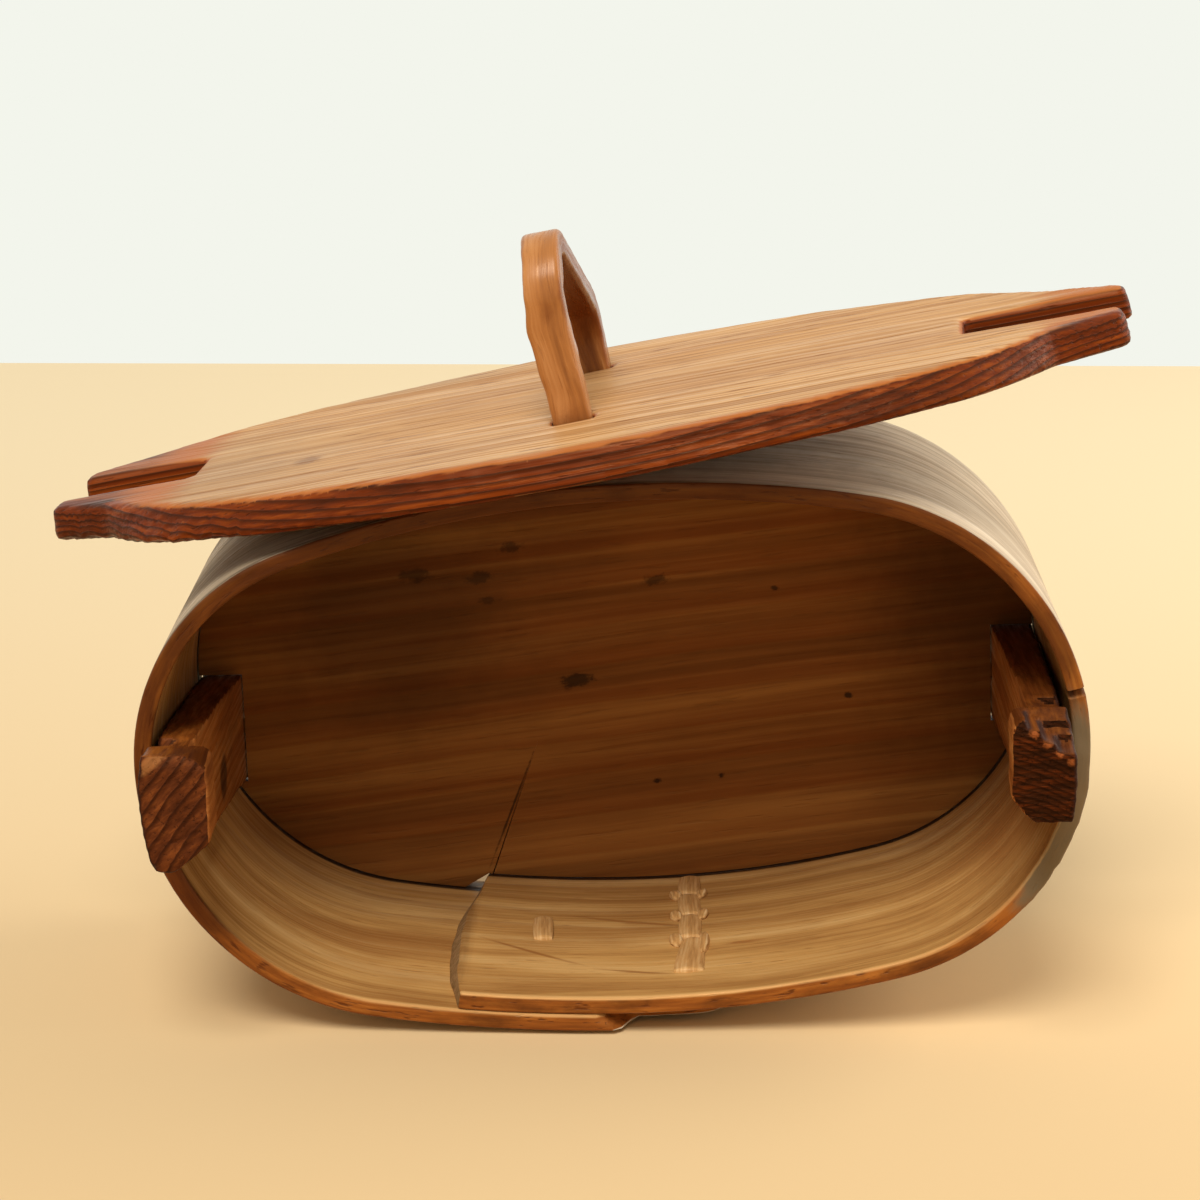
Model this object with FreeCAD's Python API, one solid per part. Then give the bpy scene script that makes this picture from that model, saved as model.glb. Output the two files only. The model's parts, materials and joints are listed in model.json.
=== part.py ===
import FreeCAD, Part
import math
import os
from collections import namedtuple

# A bentwood food box with a snap-on lid. It lies on its long side with its
# mouth towards -Y and its base board towards +Y, and the lid lies loose on it.
# All lengths are millimetres and all angles are degrees.

# Bent side band: inside outline of two flat sides and two round ends
BAND_LENGTH_INSIDE = 260.0
TOP_SIDE_REACH = 74.0
BOTTOM_SIDE_REACH = 72.0
TOP_CROWN_SHIFT = 13.0
BOTTOM_CROWN_SHIFT = 3.0
CORNER_SHARE_UPPER_LEFT = 0.811
CORNER_SHARE_UPPER_RIGHT = 0.946
CORNER_SHARE_LOWER_LEFT = 1.0
CORNER_SHARE_LOWER_RIGHT = 0.903
BAND_WALL = 5.0
BAND_DEPTH = 115.0
ROLL = -1.8

# Lap of the band, on the side that the box lies on
LAP_GAP = 0.15
INNER_END_AT_RIM = 45.6
INNER_END_BULGE = 50.5
INNER_END_AT_BASE = 41.0
INNER_END_BULGE_SHARE = 0.4
INNER_END_BEVEL = 4.5
OUTER_TIP_AT_RIM = 5.0
OUTER_TIP_BEVEL = 6.5
TONGUE_LENGTH = 34.0
TONGUE_SHOULDER = 11.0
TONGUE_CORNER = 12.0
TONGUE_CORNER_RISE = 2.0
TIP_REACH_BACK = 36.0
SHOULDER_RUN = 9.0

# Base board
BASE_THICKNESS = 8.5
BASE_CLEARANCE = 0.3
LAP_STEP_RUN = 7.5
SPLIT_WIDTH = 0.5
SPLIT_DEPTH = 2.5
SPLIT_FOOT_SHIFT = 43.3
SPLIT_TOP_SHIFT = 24.9
SPLIT_TOP_HEIGHT = -26.0

# Pegs through the band into the edge of the base board
PEG_RADIUS = 1.7
PEG_INTO_BASE = 11.0
PEG_RECESS = 0.15
POST_PEG_RECESS = 0.45
PEG_CLEARANCE = 0.05
TOP_PEG_SHIFTS = (-62.0, -8.0, 50.0)
BOTTOM_PEG_SHIFTS = (-66.0, 58.0)
CORNER_PEG_ANGLE = 48.0
LOWER_LEFT_PEG_TURN = 6.0

# Sprung posts at both ends
HEAD_LENGTH = 18.0
HEAD_LIP = 0.8
HEAD_BEVEL_PAST = 4.0
POST_CLEARANCE = 0.4
RIM_CLEARANCE = 1.5
NECK_WIDTH = 24.0
NECK_BELOW_RIM = 1.0
SHAFT_AT_RIM = 11.1
SHAFT_AT_FOOT = 13.4
FOOT_RECESS = 0.3
FOOT_CLEARANCE = 0.4
POST_PEG_RADIUS = 2.4
POST_PEG_CLEARANCE = 0.25
POST_PEG_INTO_BASE = 9.0

LEFT_HEAD_THICKNESS = 18.6
LEFT_POST_WIDTH = 34.0
LEFT_HEAD_HEIGHT = -4.4
LEFT_FOOT_HEIGHT = -20.6
LEFT_FLEX = 0.45
LEFT_LOWER_BEVEL = (10.5, 9.0)
LEFT_UPPER_BEVEL = (5.0, 4.0)

RIGHT_HEAD_THICKNESS = 17.2
RIGHT_POST_WIDTH = 30.0
RIGHT_HEAD_HEIGHT = 1.6
RIGHT_FOOT_HEIGHT = -8.6
RIGHT_FLEX = 1.1
RIGHT_LOWER_BEVEL = (6.0, 7.5)
RIGHT_UPPER_BEVEL = (3.0, 3.0)
BROKEN_STEPS = 4
BROKEN_STEP_RISE = 3.2
BROKEN_STEP_RUN = 4.0
BROKEN_STEP_BACK = 3.0

# Root lashing and single root stitch through the lap
STRAP_THICKNESS = 1.0
STRAP_GAP = 0.3
SLIT_CLEARANCE = 0.15
LASHING_SHIFT = 21.0
LASHING_WIDTH = 6.2
LASHING_BASE_GAP = 3.0
LASHING_SHARES = (1.0, 0.831, 0.647, 0.449, 0.174)
LASHING_PAUSE = 0.9
STITCH_SHIFT = -23.4
STITCH_WIDTH = 5.5
STITCH_SHARES = (0.652, 0.464)

# Lid board: slotted at both ends, with two prongs at each end
LID_THICKNESS = 10.2
LID_HALF_WIDTH = 84.0
LID_SHOULDER = (112.0, 63.0)
LID_SHOULDER_BOW = 2.4
LID_NOTCH = (138.0, 36.5)
NEAR_PRONG_TIP_WIDTH = 12.6
FAR_PRONG_TIP_WIDTH = 9.0
# Reach of the prongs from the lid's middle: the near pair, then the far pair, each left and right
PRONG_REACHES = ((157.3, 159.5), (156.2, 161.9))
SLOT_HALF_WIDTH = 13.0
SLOT_END_LEFT = 116.2
SLOT_END_RIGHT = 113.0
EDGE_BEVEL_MIDDLE = 3.5
EDGE_BEVEL_SHOULDER = (8.0, 4.0)
EDGE_BEVEL_NOTCH = 1.5
EDGE_BEVEL_TIP = 1.2

# Bow handle of bent root, standing across the lid
BOW_WIDTH = 10.9
BOW_THICKNESS = 8.6
BOW_NEAR_REACH = 38.0
BOW_FAR_REACH = 48.5
BOW_HEIGHT = 52.2
BOW_RADIUS = 18.0
BOW_SLOPE = 26.0
BOW_FAR_RADIUS = 20.0
BOW_SHIFT = 1.0
BOW_TURN = 1.2
BOW_ROUNDING = 2.2
LEG_BELOW_LID = 1.6
SOCKET_CLEARANCE = 0.15
WEDGE_THICKNESS = 1.3
WEDGE_WIDTH = 7.0
WEDGE_DEPTH = 9.0
WEDGE_PROUD = 0.15

# How the loose lid lies on the box
LID_TILT = 11.54
LID_PITCH = -1.02
LID_YAW = -4.2
LID_REST_GAP = 0.3
LID_SLIDE_ALONG = 36.2
LID_MIDDLE_SHARE = 0.5374

HALF_LENGTH = BAND_LENGTH_INSIDE / 2
CORNER_UPPER_LEFT = TOP_SIDE_REACH * CORNER_SHARE_UPPER_LEFT
CORNER_UPPER_RIGHT = TOP_SIDE_REACH * CORNER_SHARE_UPPER_RIGHT
CORNER_LOWER_LEFT = BOTTOM_SIDE_REACH * CORNER_SHARE_LOWER_LEFT
CORNER_LOWER_RIGHT = BOTTOM_SIDE_REACH * CORNER_SHARE_LOWER_RIGHT
BASE_INNER_FACE = BAND_DEPTH - BASE_THICKNESS
SEWN_DEPTH = BASE_INNER_FACE - LASHING_BASE_GAP
PEG_DEPTH = BAND_DEPTH - BASE_THICKNESS / 2
# From the rim to the underside of the post heads, where the closed lid sits
LID_SEAT = LID_THICKNESS + 1.8
HEAD_FACE = -(LID_SEAT + HEAD_LENGTH)

# How far a cutting body reaches past what it cuts
CUT_MARGIN = 1.0

Arc = namedtuple("Arc", "x z radius start end")
Post = namedtuple("Post", "side head_thickness width head_height foot_height flex "
                          "lower_bevel upper_bevel")

X_AXIS = FreeCAD.Vector(1, 0, 0)
Y_AXIS = FreeCAD.Vector(0, 1, 0)
Z_AXIS = FreeCAD.Vector(0, 0, 1)

LEFT_POST = Post(-1, LEFT_HEAD_THICKNESS, LEFT_POST_WIDTH, LEFT_HEAD_HEIGHT, LEFT_FOOT_HEIGHT, LEFT_FLEX,
                 LEFT_LOWER_BEVEL, LEFT_UPPER_BEVEL)
RIGHT_POST = Post(1, RIGHT_HEAD_THICKNESS, RIGHT_POST_WIDTH, RIGHT_HEAD_HEIGHT, RIGHT_FOOT_HEIGHT,
                  RIGHT_FLEX, RIGHT_LOWER_BEVEL, RIGHT_UPPER_BEVEL)


def side_radius(along, across, corner):
    """Radius of the long side arc that runs smoothly into a round corner."""
    return ((along - corner) ** 2 + across ** 2 - corner ** 2) / (2 * (across - corner))


def corner_angle(along, across, corner):
    """Angle at which the corner arc meets the long side arc."""
    radius = side_radius(along, across, corner)
    return math.degrees(math.atan2(radius - across, along - corner))


def band_arcs():
    """Inside outline of the strip as arcs, from the lap at the bottom round to the lap again."""
    outer_reach = BOTTOM_SIDE_REACH + BAND_WALL + LAP_GAP
    right_top = HALF_LENGTH - TOP_CROWN_SHIFT
    left_top = HALF_LENGTH + TOP_CROWN_SHIFT
    right_bottom = HALF_LENGTH - BOTTOM_CROWN_SHIFT
    left_bottom = HALF_LENGTH + BOTTOM_CROWN_SHIFT
    lower_right = corner_angle(right_bottom, BOTTOM_SIDE_REACH, CORNER_LOWER_RIGHT)
    upper_right = corner_angle(right_top, TOP_SIDE_REACH, CORNER_UPPER_RIGHT)
    upper_left = corner_angle(left_top, TOP_SIDE_REACH, CORNER_UPPER_LEFT)
    lower_left = corner_angle(left_bottom, outer_reach, CORNER_LOWER_LEFT)
    big_lower_right = side_radius(right_bottom, BOTTOM_SIDE_REACH, CORNER_LOWER_RIGHT)
    big_upper_right = side_radius(right_top, TOP_SIDE_REACH, CORNER_UPPER_RIGHT)
    big_upper_left = side_radius(left_top, TOP_SIDE_REACH, CORNER_UPPER_LEFT)
    big_lower_left = side_radius(left_bottom, outer_reach, CORNER_LOWER_LEFT)
    return [
        Arc(BOTTOM_CROWN_SHIFT, big_lower_right - BOTTOM_SIDE_REACH, big_lower_right,
            270, 360 - lower_right),
        Arc(HALF_LENGTH - CORNER_LOWER_RIGHT, 0, CORNER_LOWER_RIGHT, -lower_right, 0),
        Arc(HALF_LENGTH - CORNER_UPPER_RIGHT, 0, CORNER_UPPER_RIGHT, 0, upper_right),
        Arc(TOP_CROWN_SHIFT, TOP_SIDE_REACH - big_upper_right, big_upper_right, upper_right, 90),
        Arc(TOP_CROWN_SHIFT, TOP_SIDE_REACH - big_upper_left, big_upper_left, 90, 180 - upper_left),
        Arc(CORNER_UPPER_LEFT - HALF_LENGTH, 0, CORNER_UPPER_LEFT, 180 - upper_left, 180),
        Arc(CORNER_LOWER_LEFT - HALF_LENGTH, 0, CORNER_LOWER_LEFT, 180, 180 + lower_left),
        Arc(BOTTOM_CROWN_SHIFT, big_lower_left - outer_reach, big_lower_left, 180 + lower_left, 270),
    ]


def arc_point(arc, degrees, offset=0.0, depth=0.0):
    """Point on an arc, pushed outwards by offset, at a depth behind the rim."""
    angle = math.radians(degrees)
    radius = arc.radius + offset
    return FreeCAD.Vector(arc.x + radius * math.cos(angle), depth, arc.z + radius * math.sin(angle))


def arc_edge(arc, offset=0.0, depth=0.0):
    """One arc of an outline as an edge."""
    middle = (arc.start + arc.end) / 2
    points = [arc_point(arc, degrees, offset, depth) for degrees in (arc.start, middle, arc.end)]
    return Part.Arc(*points).toShape()


def angle_at(arc, x):
    """Angle at which a lower arc passes a place along the box."""
    return 270 + math.degrees(math.asin((x - arc.x) / arc.radius))


def strip(arcs, inside, outside, start_depth, depth):
    """A stretch of bent strip between two offsets of a row of arcs."""
    inner = [arc_edge(arc, inside, start_depth) for arc in arcs]
    outer = [arc_edge(arc, outside, start_depth) for arc in arcs]
    first_end = Part.makeLine(arc_point(arcs[0], arcs[0].start, inside, start_depth),
                              arc_point(arcs[0], arcs[0].start, outside, start_depth))
    last_end = Part.makeLine(arc_point(arcs[-1], arcs[-1].end, inside, start_depth),
                             arc_point(arcs[-1], arcs[-1].end, outside, start_depth))
    wire = Part.Wire(Part.__sortEdges__(inner + [last_end] + outer + [first_end]))
    return Part.Face(wire).extrude(Y_AXIS * depth)


def inner_tail_arc():
    """Arc of the strip's inner end, which lies inside the other end at the lap."""
    last = band_arcs()[-1]
    tail = Arc(last.x, last.z, last.radius - LAP_GAP - BAND_WALL, 0, 270)
    return tail._replace(start=angle_at(tail, -INNER_END_BULGE))


def outer_tongue_arc():
    """Arc of the strip's outer end, which lies outside the other end at the lap."""
    first = band_arcs()[0]
    tongue = Arc(first.x, first.z, first.radius + BAND_WALL + LAP_GAP, 270, 0)
    return tongue._replace(end=angle_at(tongue, TONGUE_LENGTH))


def plan_prism(points, low, high):
    """Upright prism over an outline given as places along and behind the rim."""
    corners = [FreeCAD.Vector(x, y, low) for x, y in points]
    face = Part.Face(Part.makePolygon(corners + corners[:1]))
    return face.extrude(Z_AXIS * (high - low))


def inner_end_outline():
    """Rounded outline of the strip's inner end, seen from above."""
    low = -2 * BOTTOM_SIDE_REACH
    right = BOTTOM_CROWN_SHIFT
    rim = FreeCAD.Vector(-INNER_END_AT_RIM, 0, low)
    base = FreeCAD.Vector(-INNER_END_AT_BASE, BAND_DEPTH, low)
    bulge = FreeCAD.Vector(-INNER_END_BULGE, BAND_DEPTH * INNER_END_BULGE_SHARE, low)
    corner_rim = FreeCAD.Vector(right, 0, low)
    corner_base = FreeCAD.Vector(right, BAND_DEPTH, low)
    edges = [Part.Arc(rim, bulge, base).toShape(), Part.makeLine(base, corner_base),
             Part.makeLine(corner_base, corner_rim), Part.makeLine(corner_rim, rim)]
    return Part.Face(Part.Wire(edges)).extrude(Z_AXIS * (2 * BOTTOM_SIDE_REACH))


def inner_end():
    """The strip's inner end, with its bevelled edge."""
    tail = inner_tail_arc()
    piece = strip([tail], 0, BAND_WALL, 0, BAND_DEPTH).common(inner_end_outline())
    top = arc_point(tail, tail.start).z + BAND_WALL / 2
    bevel = plan_prism([(-2 * HALF_LENGTH, -CUT_MARGIN), (-INNER_END_BULGE + INNER_END_BEVEL, -CUT_MARGIN),
                        (-INNER_END_BULGE + INNER_END_BEVEL, BAND_DEPTH + CUT_MARGIN),
                        (-2 * HALF_LENGTH, BAND_DEPTH + CUT_MARGIN)], top - BAND_WALL, top + BAND_WALL)
    pivot = FreeCAD.Vector(-INNER_END_BULGE + INNER_END_BEVEL, 0, top)
    bevel.rotate(pivot, Y_AXIS, -math.degrees(math.atan2(BAND_WALL, INNER_END_BEVEL)))
    return piece.cut(bevel)


def tongue_outline():
    """Outline of the strip's outer end from above: shoulders at rim and base, then the sewn tongue."""
    far = BAND_DEPTH - TONGUE_SHOULDER
    tip = -OUTER_TIP_AT_RIM
    step = tip + SHOULDER_RUN
    end = TONGUE_LENGTH
    left = tip - TIP_REACH_BACK
    corner = end - TONGUE_CORNER
    return [(left, 0), (tip, 0), (step, TONGUE_SHOULDER), (corner, TONGUE_SHOULDER + TONGUE_CORNER_RISE),
            (end, TONGUE_SHOULDER + TONGUE_CORNER), (end, far - TONGUE_CORNER),
            (corner, far - TONGUE_CORNER_RISE), (step, far), (tip, BAND_DEPTH), (left, BAND_DEPTH)]


def outer_end():
    """The strip's outer end: a tongue, with its tips at rim and base cut on a slant."""
    last = band_arcs()[-1]
    left = -OUTER_TIP_AT_RIM - 2 * SHOULDER_RUN
    lead = last._replace(start=angle_at(last, left))
    piece = strip([lead], 0, BAND_WALL, 0, BAND_DEPTH)
    tongue = outer_tongue_arc()
    piece = piece.fuse(strip([tongue], 0, BAND_WALL, 0, BAND_DEPTH))
    piece = piece.common(plan_prism(tongue_outline(), -2 * BOTTOM_SIDE_REACH, 0))
    slant = tip_slant()
    return piece.cut(slant)


def tip_slant():
    """Slanted cut under the tips of the outer end, at the rim and at the base."""
    bottom = -(BOTTOM_SIDE_REACH + 2 * BAND_WALL + LAP_GAP)
    tip = -OUTER_TIP_AT_RIM
    corners = [FreeCAD.Vector(tip - OUTER_TIP_BEVEL / 2, 0, bottom),
               FreeCAD.Vector(tip + OUTER_TIP_BEVEL / 2, 0, bottom + BAND_WALL),
               FreeCAD.Vector(tip + SHOULDER_RUN, 0, bottom + BAND_WALL),
               FreeCAD.Vector(tip + SHOULDER_RUN, 0, bottom - BAND_WALL),
               FreeCAD.Vector(tip - OUTER_TIP_BEVEL / 2, 0, bottom - BAND_WALL)]
    face = Part.Face(Part.makePolygon(corners + corners[:1]))
    depth = TONGUE_SHOULDER / 2
    near = face.extrude(Y_AXIS * depth)
    far = near.copy()
    far.translate(Y_AXIS * (BAND_DEPTH - depth))
    return near.fuse(far)


def band():
    """The bent side: one strip, lapped under the box, with holes for pegs and stitches."""
    arcs = band_arcs()
    last = arcs[-1]
    cut_left = -OUTER_TIP_AT_RIM - 2 * SHOULDER_RUN
    main = arcs[:-1] + [last._replace(end=angle_at(last, cut_left))]
    ring = strip(main, 0, BAND_WALL, 0, BAND_DEPTH)
    ring = ring.fuse([inner_end(), outer_end()]).removeSplitter()
    tools = [peg(place, PEG_RADIUS + PEG_CLEARANCE, PEG_INTO_BASE, 1) for place in peg_places()]
    tools += [post_peg(post, POST_PEG_RADIUS + PEG_CLEARANCE, 1) for post in (LEFT_POST, RIGHT_POST)]
    tools += stitch_slits()
    return ring.cut(tools)


def base_outline_arcs():
    """Arcs that the base board follows, one run from the lap step round to the lap step."""
    arcs = band_arcs()
    tail = inner_tail_arc()
    step_right = -INNER_END_AT_BASE - CUT_MARGIN
    step_left = step_right - LAP_STEP_RUN
    near_step = tail._replace(start=angle_at(tail, step_right))
    last = arcs[-1]
    return [near_step] + arcs[:-1] + [last._replace(end=angle_at(last, step_left))]


def base_board():
    """The base: one board inside the far end of the band, notched for the feet of the posts."""
    arcs = base_outline_arcs()
    edges = [arc_edge(arc, -BASE_CLEARANCE, BASE_INNER_FACE) for arc in arcs]
    start = arc_point(arcs[0], arcs[0].start, -BASE_CLEARANCE, BASE_INNER_FACE)
    end = arc_point(arcs[-1], arcs[-1].end, -BASE_CLEARANCE, BASE_INNER_FACE)
    edges.append(Part.makeLine(end, start))
    board = Part.Face(Part.Wire(Part.__sortEdges__(edges))).extrude(Y_AXIS * BASE_THICKNESS)
    tools = [peg(place, PEG_RADIUS + PEG_CLEARANCE, PEG_INTO_BASE, 0) for place in peg_places()]
    for post in (LEFT_POST, RIGHT_POST):
        tools.append(foot_notch(post))
        tools.append(post_peg(post, POST_PEG_RADIUS + PEG_CLEARANCE, 0))
    tools.append(base_split())
    return board.cut(tools)


def base_split():
    """A drying split that runs from the lap step up across the base board."""
    foot = FreeCAD.Vector(-SPLIT_FOOT_SHIFT, BASE_INNER_FACE, -BOTTOM_SIDE_REACH - BAND_WALL)
    top = FreeCAD.Vector(-SPLIT_TOP_SHIFT, BASE_INNER_FACE, SPLIT_TOP_HEIGHT)
    half = X_AXIS * (SPLIT_WIDTH / 2)
    face = Part.Face(Part.makePolygon([foot - half, foot + half, top, foot - half]))
    return face.extrude(Y_AXIS * SPLIT_DEPTH)


def peg_places():
    """Places and outward directions of the pegs round the base."""
    arcs = band_arcs()
    places = []
    for shift in TOP_PEG_SHIFTS:
        arc = arcs[3] if shift > TOP_CROWN_SHIFT else arcs[4]
        degrees = math.degrees(math.acos((shift - arc.x) / arc.radius))
        places.append((arc, degrees))
    for shift in BOTTOM_PEG_SHIFTS:
        arc = arcs[0] if shift > BOTTOM_CROWN_SHIFT else arcs[7]
        places.append((arc, angle_at(arc, shift)))
    places.append((arcs[1], -CORNER_PEG_ANGLE))
    places.append((arcs[2], CORNER_PEG_ANGLE))
    places.append((arcs[5], 180 - CORNER_PEG_ANGLE))
    places.append((arcs[6], 180 + CORNER_PEG_ANGLE + LOWER_LEFT_PEG_TURN))
    return places


def peg(place, radius, inwards, past):
    """One round peg or its hole: through the band and into the edge of the base board."""
    arc, degrees = place
    start = arc_point(arc, degrees, -inwards, PEG_DEPTH)
    end = arc_point(arc, degrees, BAND_WALL - PEG_RECESS + past, PEG_DEPTH)
    return Part.makeCylinder(radius, (end - start).Length, start, end - start)


def base_pegs():
    """All the pegs that hold the band to the base board."""
    inwards = PEG_INTO_BASE - PEG_RECESS
    return Part.makeCompound([peg(place, PEG_RADIUS, inwards, 0) for place in peg_places()])


def end_arcs(post):
    """The two arcs of the band's round end that a post stands against, lower and upper."""
    arcs = band_arcs()
    return (arcs[1], arcs[2]) if post.side > 0 else (arcs[6], arcs[5])


def end_segment(post, inner_x, offset, start, end):
    """Prism of the round end beyond inner_x, its back following the band at an offset."""
    lower, upper = end_arcs(post)
    tip = FreeCAD.Vector(post.side * (HALF_LENGTH + offset), start, 0)
    edges = []
    corners = []
    for arc, way in ((lower, -1), (upper, 1)):
        radius = arc.radius + offset
        reach = inner_x - (HALF_LENGTH - arc.radius)
        angle = math.acos(reach / radius)
        points = [FreeCAD.Vector(post.side * (HALF_LENGTH - arc.radius + radius * math.cos(turn)), start,
                                 way * radius * math.sin(turn)) for turn in (angle / 2, angle)]
        edges.append(Part.Arc(tip, points[0], points[1]).toShape())
        corners.append(points[1])
    edges.append(Part.makeLine(corners[0], corners[1]))
    face = Part.Face(Part.Wire(Part.__sortEdges__(edges)))
    return face.extrude(Y_AXIS * (end - start))


def centre_height(post, depth):
    """Height of the post's middle line, which leans from the head to the foot."""
    share = (depth - HEAD_FACE) / (BAND_DEPTH - HEAD_FACE)
    return post.head_height + (post.foot_height - post.head_height) * share


def leaning_slab(post, width, start, end):
    """Everything within half a width of the post's leaning middle line."""
    low = centre_height(post, start)
    high = centre_height(post, end)
    corners = [FreeCAD.Vector(0, start, low - width / 2), FreeCAD.Vector(0, end, high - width / 2),
               FreeCAD.Vector(0, end, high + width / 2), FreeCAD.Vector(0, start, low + width / 2)]
    face = Part.Face(Part.makePolygon(corners + corners[:1]))
    return face.extrude(X_AXIS * (post.side * 2 * HALF_LENGTH))


def shaft_solid(post, grow=0.0):
    """Post below the head: a flat inner face and a back that follows the band."""
    end = BAND_DEPTH - FOOT_RECESS + grow
    inner = HALF_LENGTH - SHAFT_AT_FOOT - CUT_MARGIN - grow
    solid = end_segment(post, inner, -POST_CLEARANCE + grow, -RIM_CLEARANCE, end)
    solid = solid.common(leaning_slab(post, post.width + 2 * grow, -2 * LID_SEAT, BAND_DEPTH + CUT_MARGIN))
    at_rim = post.side * (HALF_LENGTH - SHAFT_AT_RIM - grow)
    at_foot = post.side * (HALF_LENGTH - SHAFT_AT_FOOT - grow)
    inside = post.side * HALF_LENGTH / 2
    low = -2 * BOTTOM_SIDE_REACH
    face_cut = plan_prism([(at_rim, -2 * LID_SEAT), (at_foot, BAND_DEPTH + CUT_MARGIN),
                           (inside, BAND_DEPTH + CUT_MARGIN),
                           (inside, -2 * LID_SEAT)], low, -low)
    return solid.cut(face_cut)


def neck_solid(post):
    """Narrow neck that the prongs of the lid close round."""
    solid = end_segment(post, HALF_LENGTH - SHAFT_AT_RIM, -POST_CLEARANCE, -LID_SEAT, NECK_BELOW_RIM)
    return solid.common(leaning_slab(post, NECK_WIDTH, -2 * LID_SEAT, 2 * LID_SEAT))


def head_solid(post):
    """Head that overhangs the lid on the inside and on both sides."""
    solid = end_segment(post, HALF_LENGTH - post.head_thickness, HEAD_LIP, HEAD_FACE, -LID_SEAT)
    solid = solid.common(leaning_slab(post, post.width, 2 * HEAD_FACE, 2 * LID_SEAT))
    return solid.cut([head_bevel(post, post.lower_bevel, -1), head_bevel(post, post.upper_bevel, 1)])


def head_bevel(post, size, way):
    """Bevel along an inner corner of the head, above or below, with its slanting flat."""
    inward, along = size
    x = post.side * (HALF_LENGTH - post.head_thickness)
    past = -HEAD_BEVEL_PAST
    corners = []
    for step_x, step_z in ((past, along), (0, along), (inward, 0), (inward, past), (past, past)):
        height = post.head_height + way * (post.width / 2 - step_z)
        corners.append(FreeCAD.Vector(x + post.side * step_x, HEAD_FACE - CUT_MARGIN, height))
    face = Part.Face(Part.makePolygon(corners + corners[:1]))
    return face.extrude(Y_AXIS * (HEAD_LENGTH + CUT_MARGIN))


def neck_recess(post):
    """Room cut beside the neck, from under the head to just below the rim."""
    outer = leaning_slab(post, 2 * post.width, -LID_SEAT, NECK_BELOW_RIM)
    return outer.cut(leaning_slab(post, NECK_WIDTH, -2 * LID_SEAT, 2 * LID_SEAT))


def broken_corner(post):
    """Steps where the upper outer corner of the right head has split away."""
    top = post.head_height + post.width / 2
    inner = HALF_LENGTH - post.head_thickness
    tools = []
    for step in range(1, BROKEN_STEPS):
        x = inner + step * BROKEN_STEP_RUN
        z = top - step * BROKEN_STEP_RISE
        back = HEAD_LENGTH - step * BROKEN_STEP_BACK
        tools.append(Part.makeBox(2 * BROKEN_STEP_RUN * BROKEN_STEPS, back + CUT_MARGIN, post.width,
                                  FreeCAD.Vector(x, HEAD_FACE - CUT_MARGIN, z)))
    return tools


def hinge_point(post):
    """Middle of the peg that holds the foot of a post, about which the post springs."""
    x = post.side * (HALF_LENGTH - SHAFT_AT_FOOT / 2)
    return FreeCAD.Vector(x, PEG_DEPTH, centre_height(post, PEG_DEPTH))


def post_peg(post, radius, past):
    """Stout peg through the band and the foot of a post into the base board."""
    lower = end_arcs(post)[0]
    height = centre_height(post, PEG_DEPTH)
    surface = HALF_LENGTH - lower.radius + math.sqrt((lower.radius + BAND_WALL) ** 2 - height ** 2)
    outer = surface - POST_PEG_RECESS + past
    inner = HALF_LENGTH - SHAFT_AT_FOOT - FOOT_CLEARANCE - POST_PEG_INTO_BASE - past
    start = FreeCAD.Vector(post.side * inner, PEG_DEPTH, height)
    return Part.makeCylinder(radius, outer - inner, start, X_AXIS * post.side)


def foot_notch(post):
    """Notch in the base board that the foot of a post stands in."""
    notch = shaft_solid(post, FOOT_CLEARANCE)
    notch.rotate(hinge_point(post), Z_AXIS, -post.side * post.flex / 2)
    edge = end_segment(post, HALF_LENGTH - SHAFT_AT_FOOT, BAND_WALL, BASE_INNER_FACE - CUT_MARGIN,
                       BAND_DEPTH + CUT_MARGIN)
    return notch.fuse(edge.common(leaning_slab(post, post.width, 0, 2 * BAND_DEPTH)))


def post_solid(post):
    """A whole post, sprung back from the band by its flex."""
    shaft = shaft_solid(post).cut(neck_recess(post))
    solid = shaft.fuse([neck_solid(post), head_solid(post)]).removeSplitter()
    if post is RIGHT_POST:
        solid = solid.cut(broken_corner(post))
    height = centre_height(post, PEG_DEPTH)
    hole_start = FreeCAD.Vector(0, PEG_DEPTH, height)
    hole_radius = POST_PEG_RADIUS + POST_PEG_CLEARANCE
    hole = Part.makeCylinder(hole_radius, 2 * HALF_LENGTH, hole_start, X_AXIS * post.side)
    solid = solid.cut(hole)
    solid.rotate(hinge_point(post), Z_AXIS, -post.side * post.flex)
    return solid


def stitch_spans():
    """Every stitch as its place along the box, its width and its two ends behind the rim."""
    far, near = [share * SEWN_DEPTH for share in STITCH_SHARES]
    spans = [(STITCH_SHIFT, STITCH_WIDTH, near, far)]
    for far_share, near_share in zip(LASHING_SHARES[:-1], LASHING_SHARES[1:]):
        near = near_share * SEWN_DEPTH + LASHING_PAUSE / 2
        far = far_share * SEWN_DEPTH - LASHING_PAUSE / 2
        spans.append((LASHING_SHIFT, LASHING_WIDTH, near, far))
    return spans


def surface_height(shift, outside):
    """Height of the lap's inner or outer surface at a place along the box."""
    left = shift < BOTTOM_CROWN_SHIFT
    if outside:
        arc = band_arcs()[-1] if left else outer_tongue_arc()
        radius = arc.radius + BAND_WALL
    else:
        arc = inner_tail_arc() if left else band_arcs()[0]
        radius = arc.radius
    return arc.z - math.sqrt(radius ** 2 - (shift - arc.x) ** 2)


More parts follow.
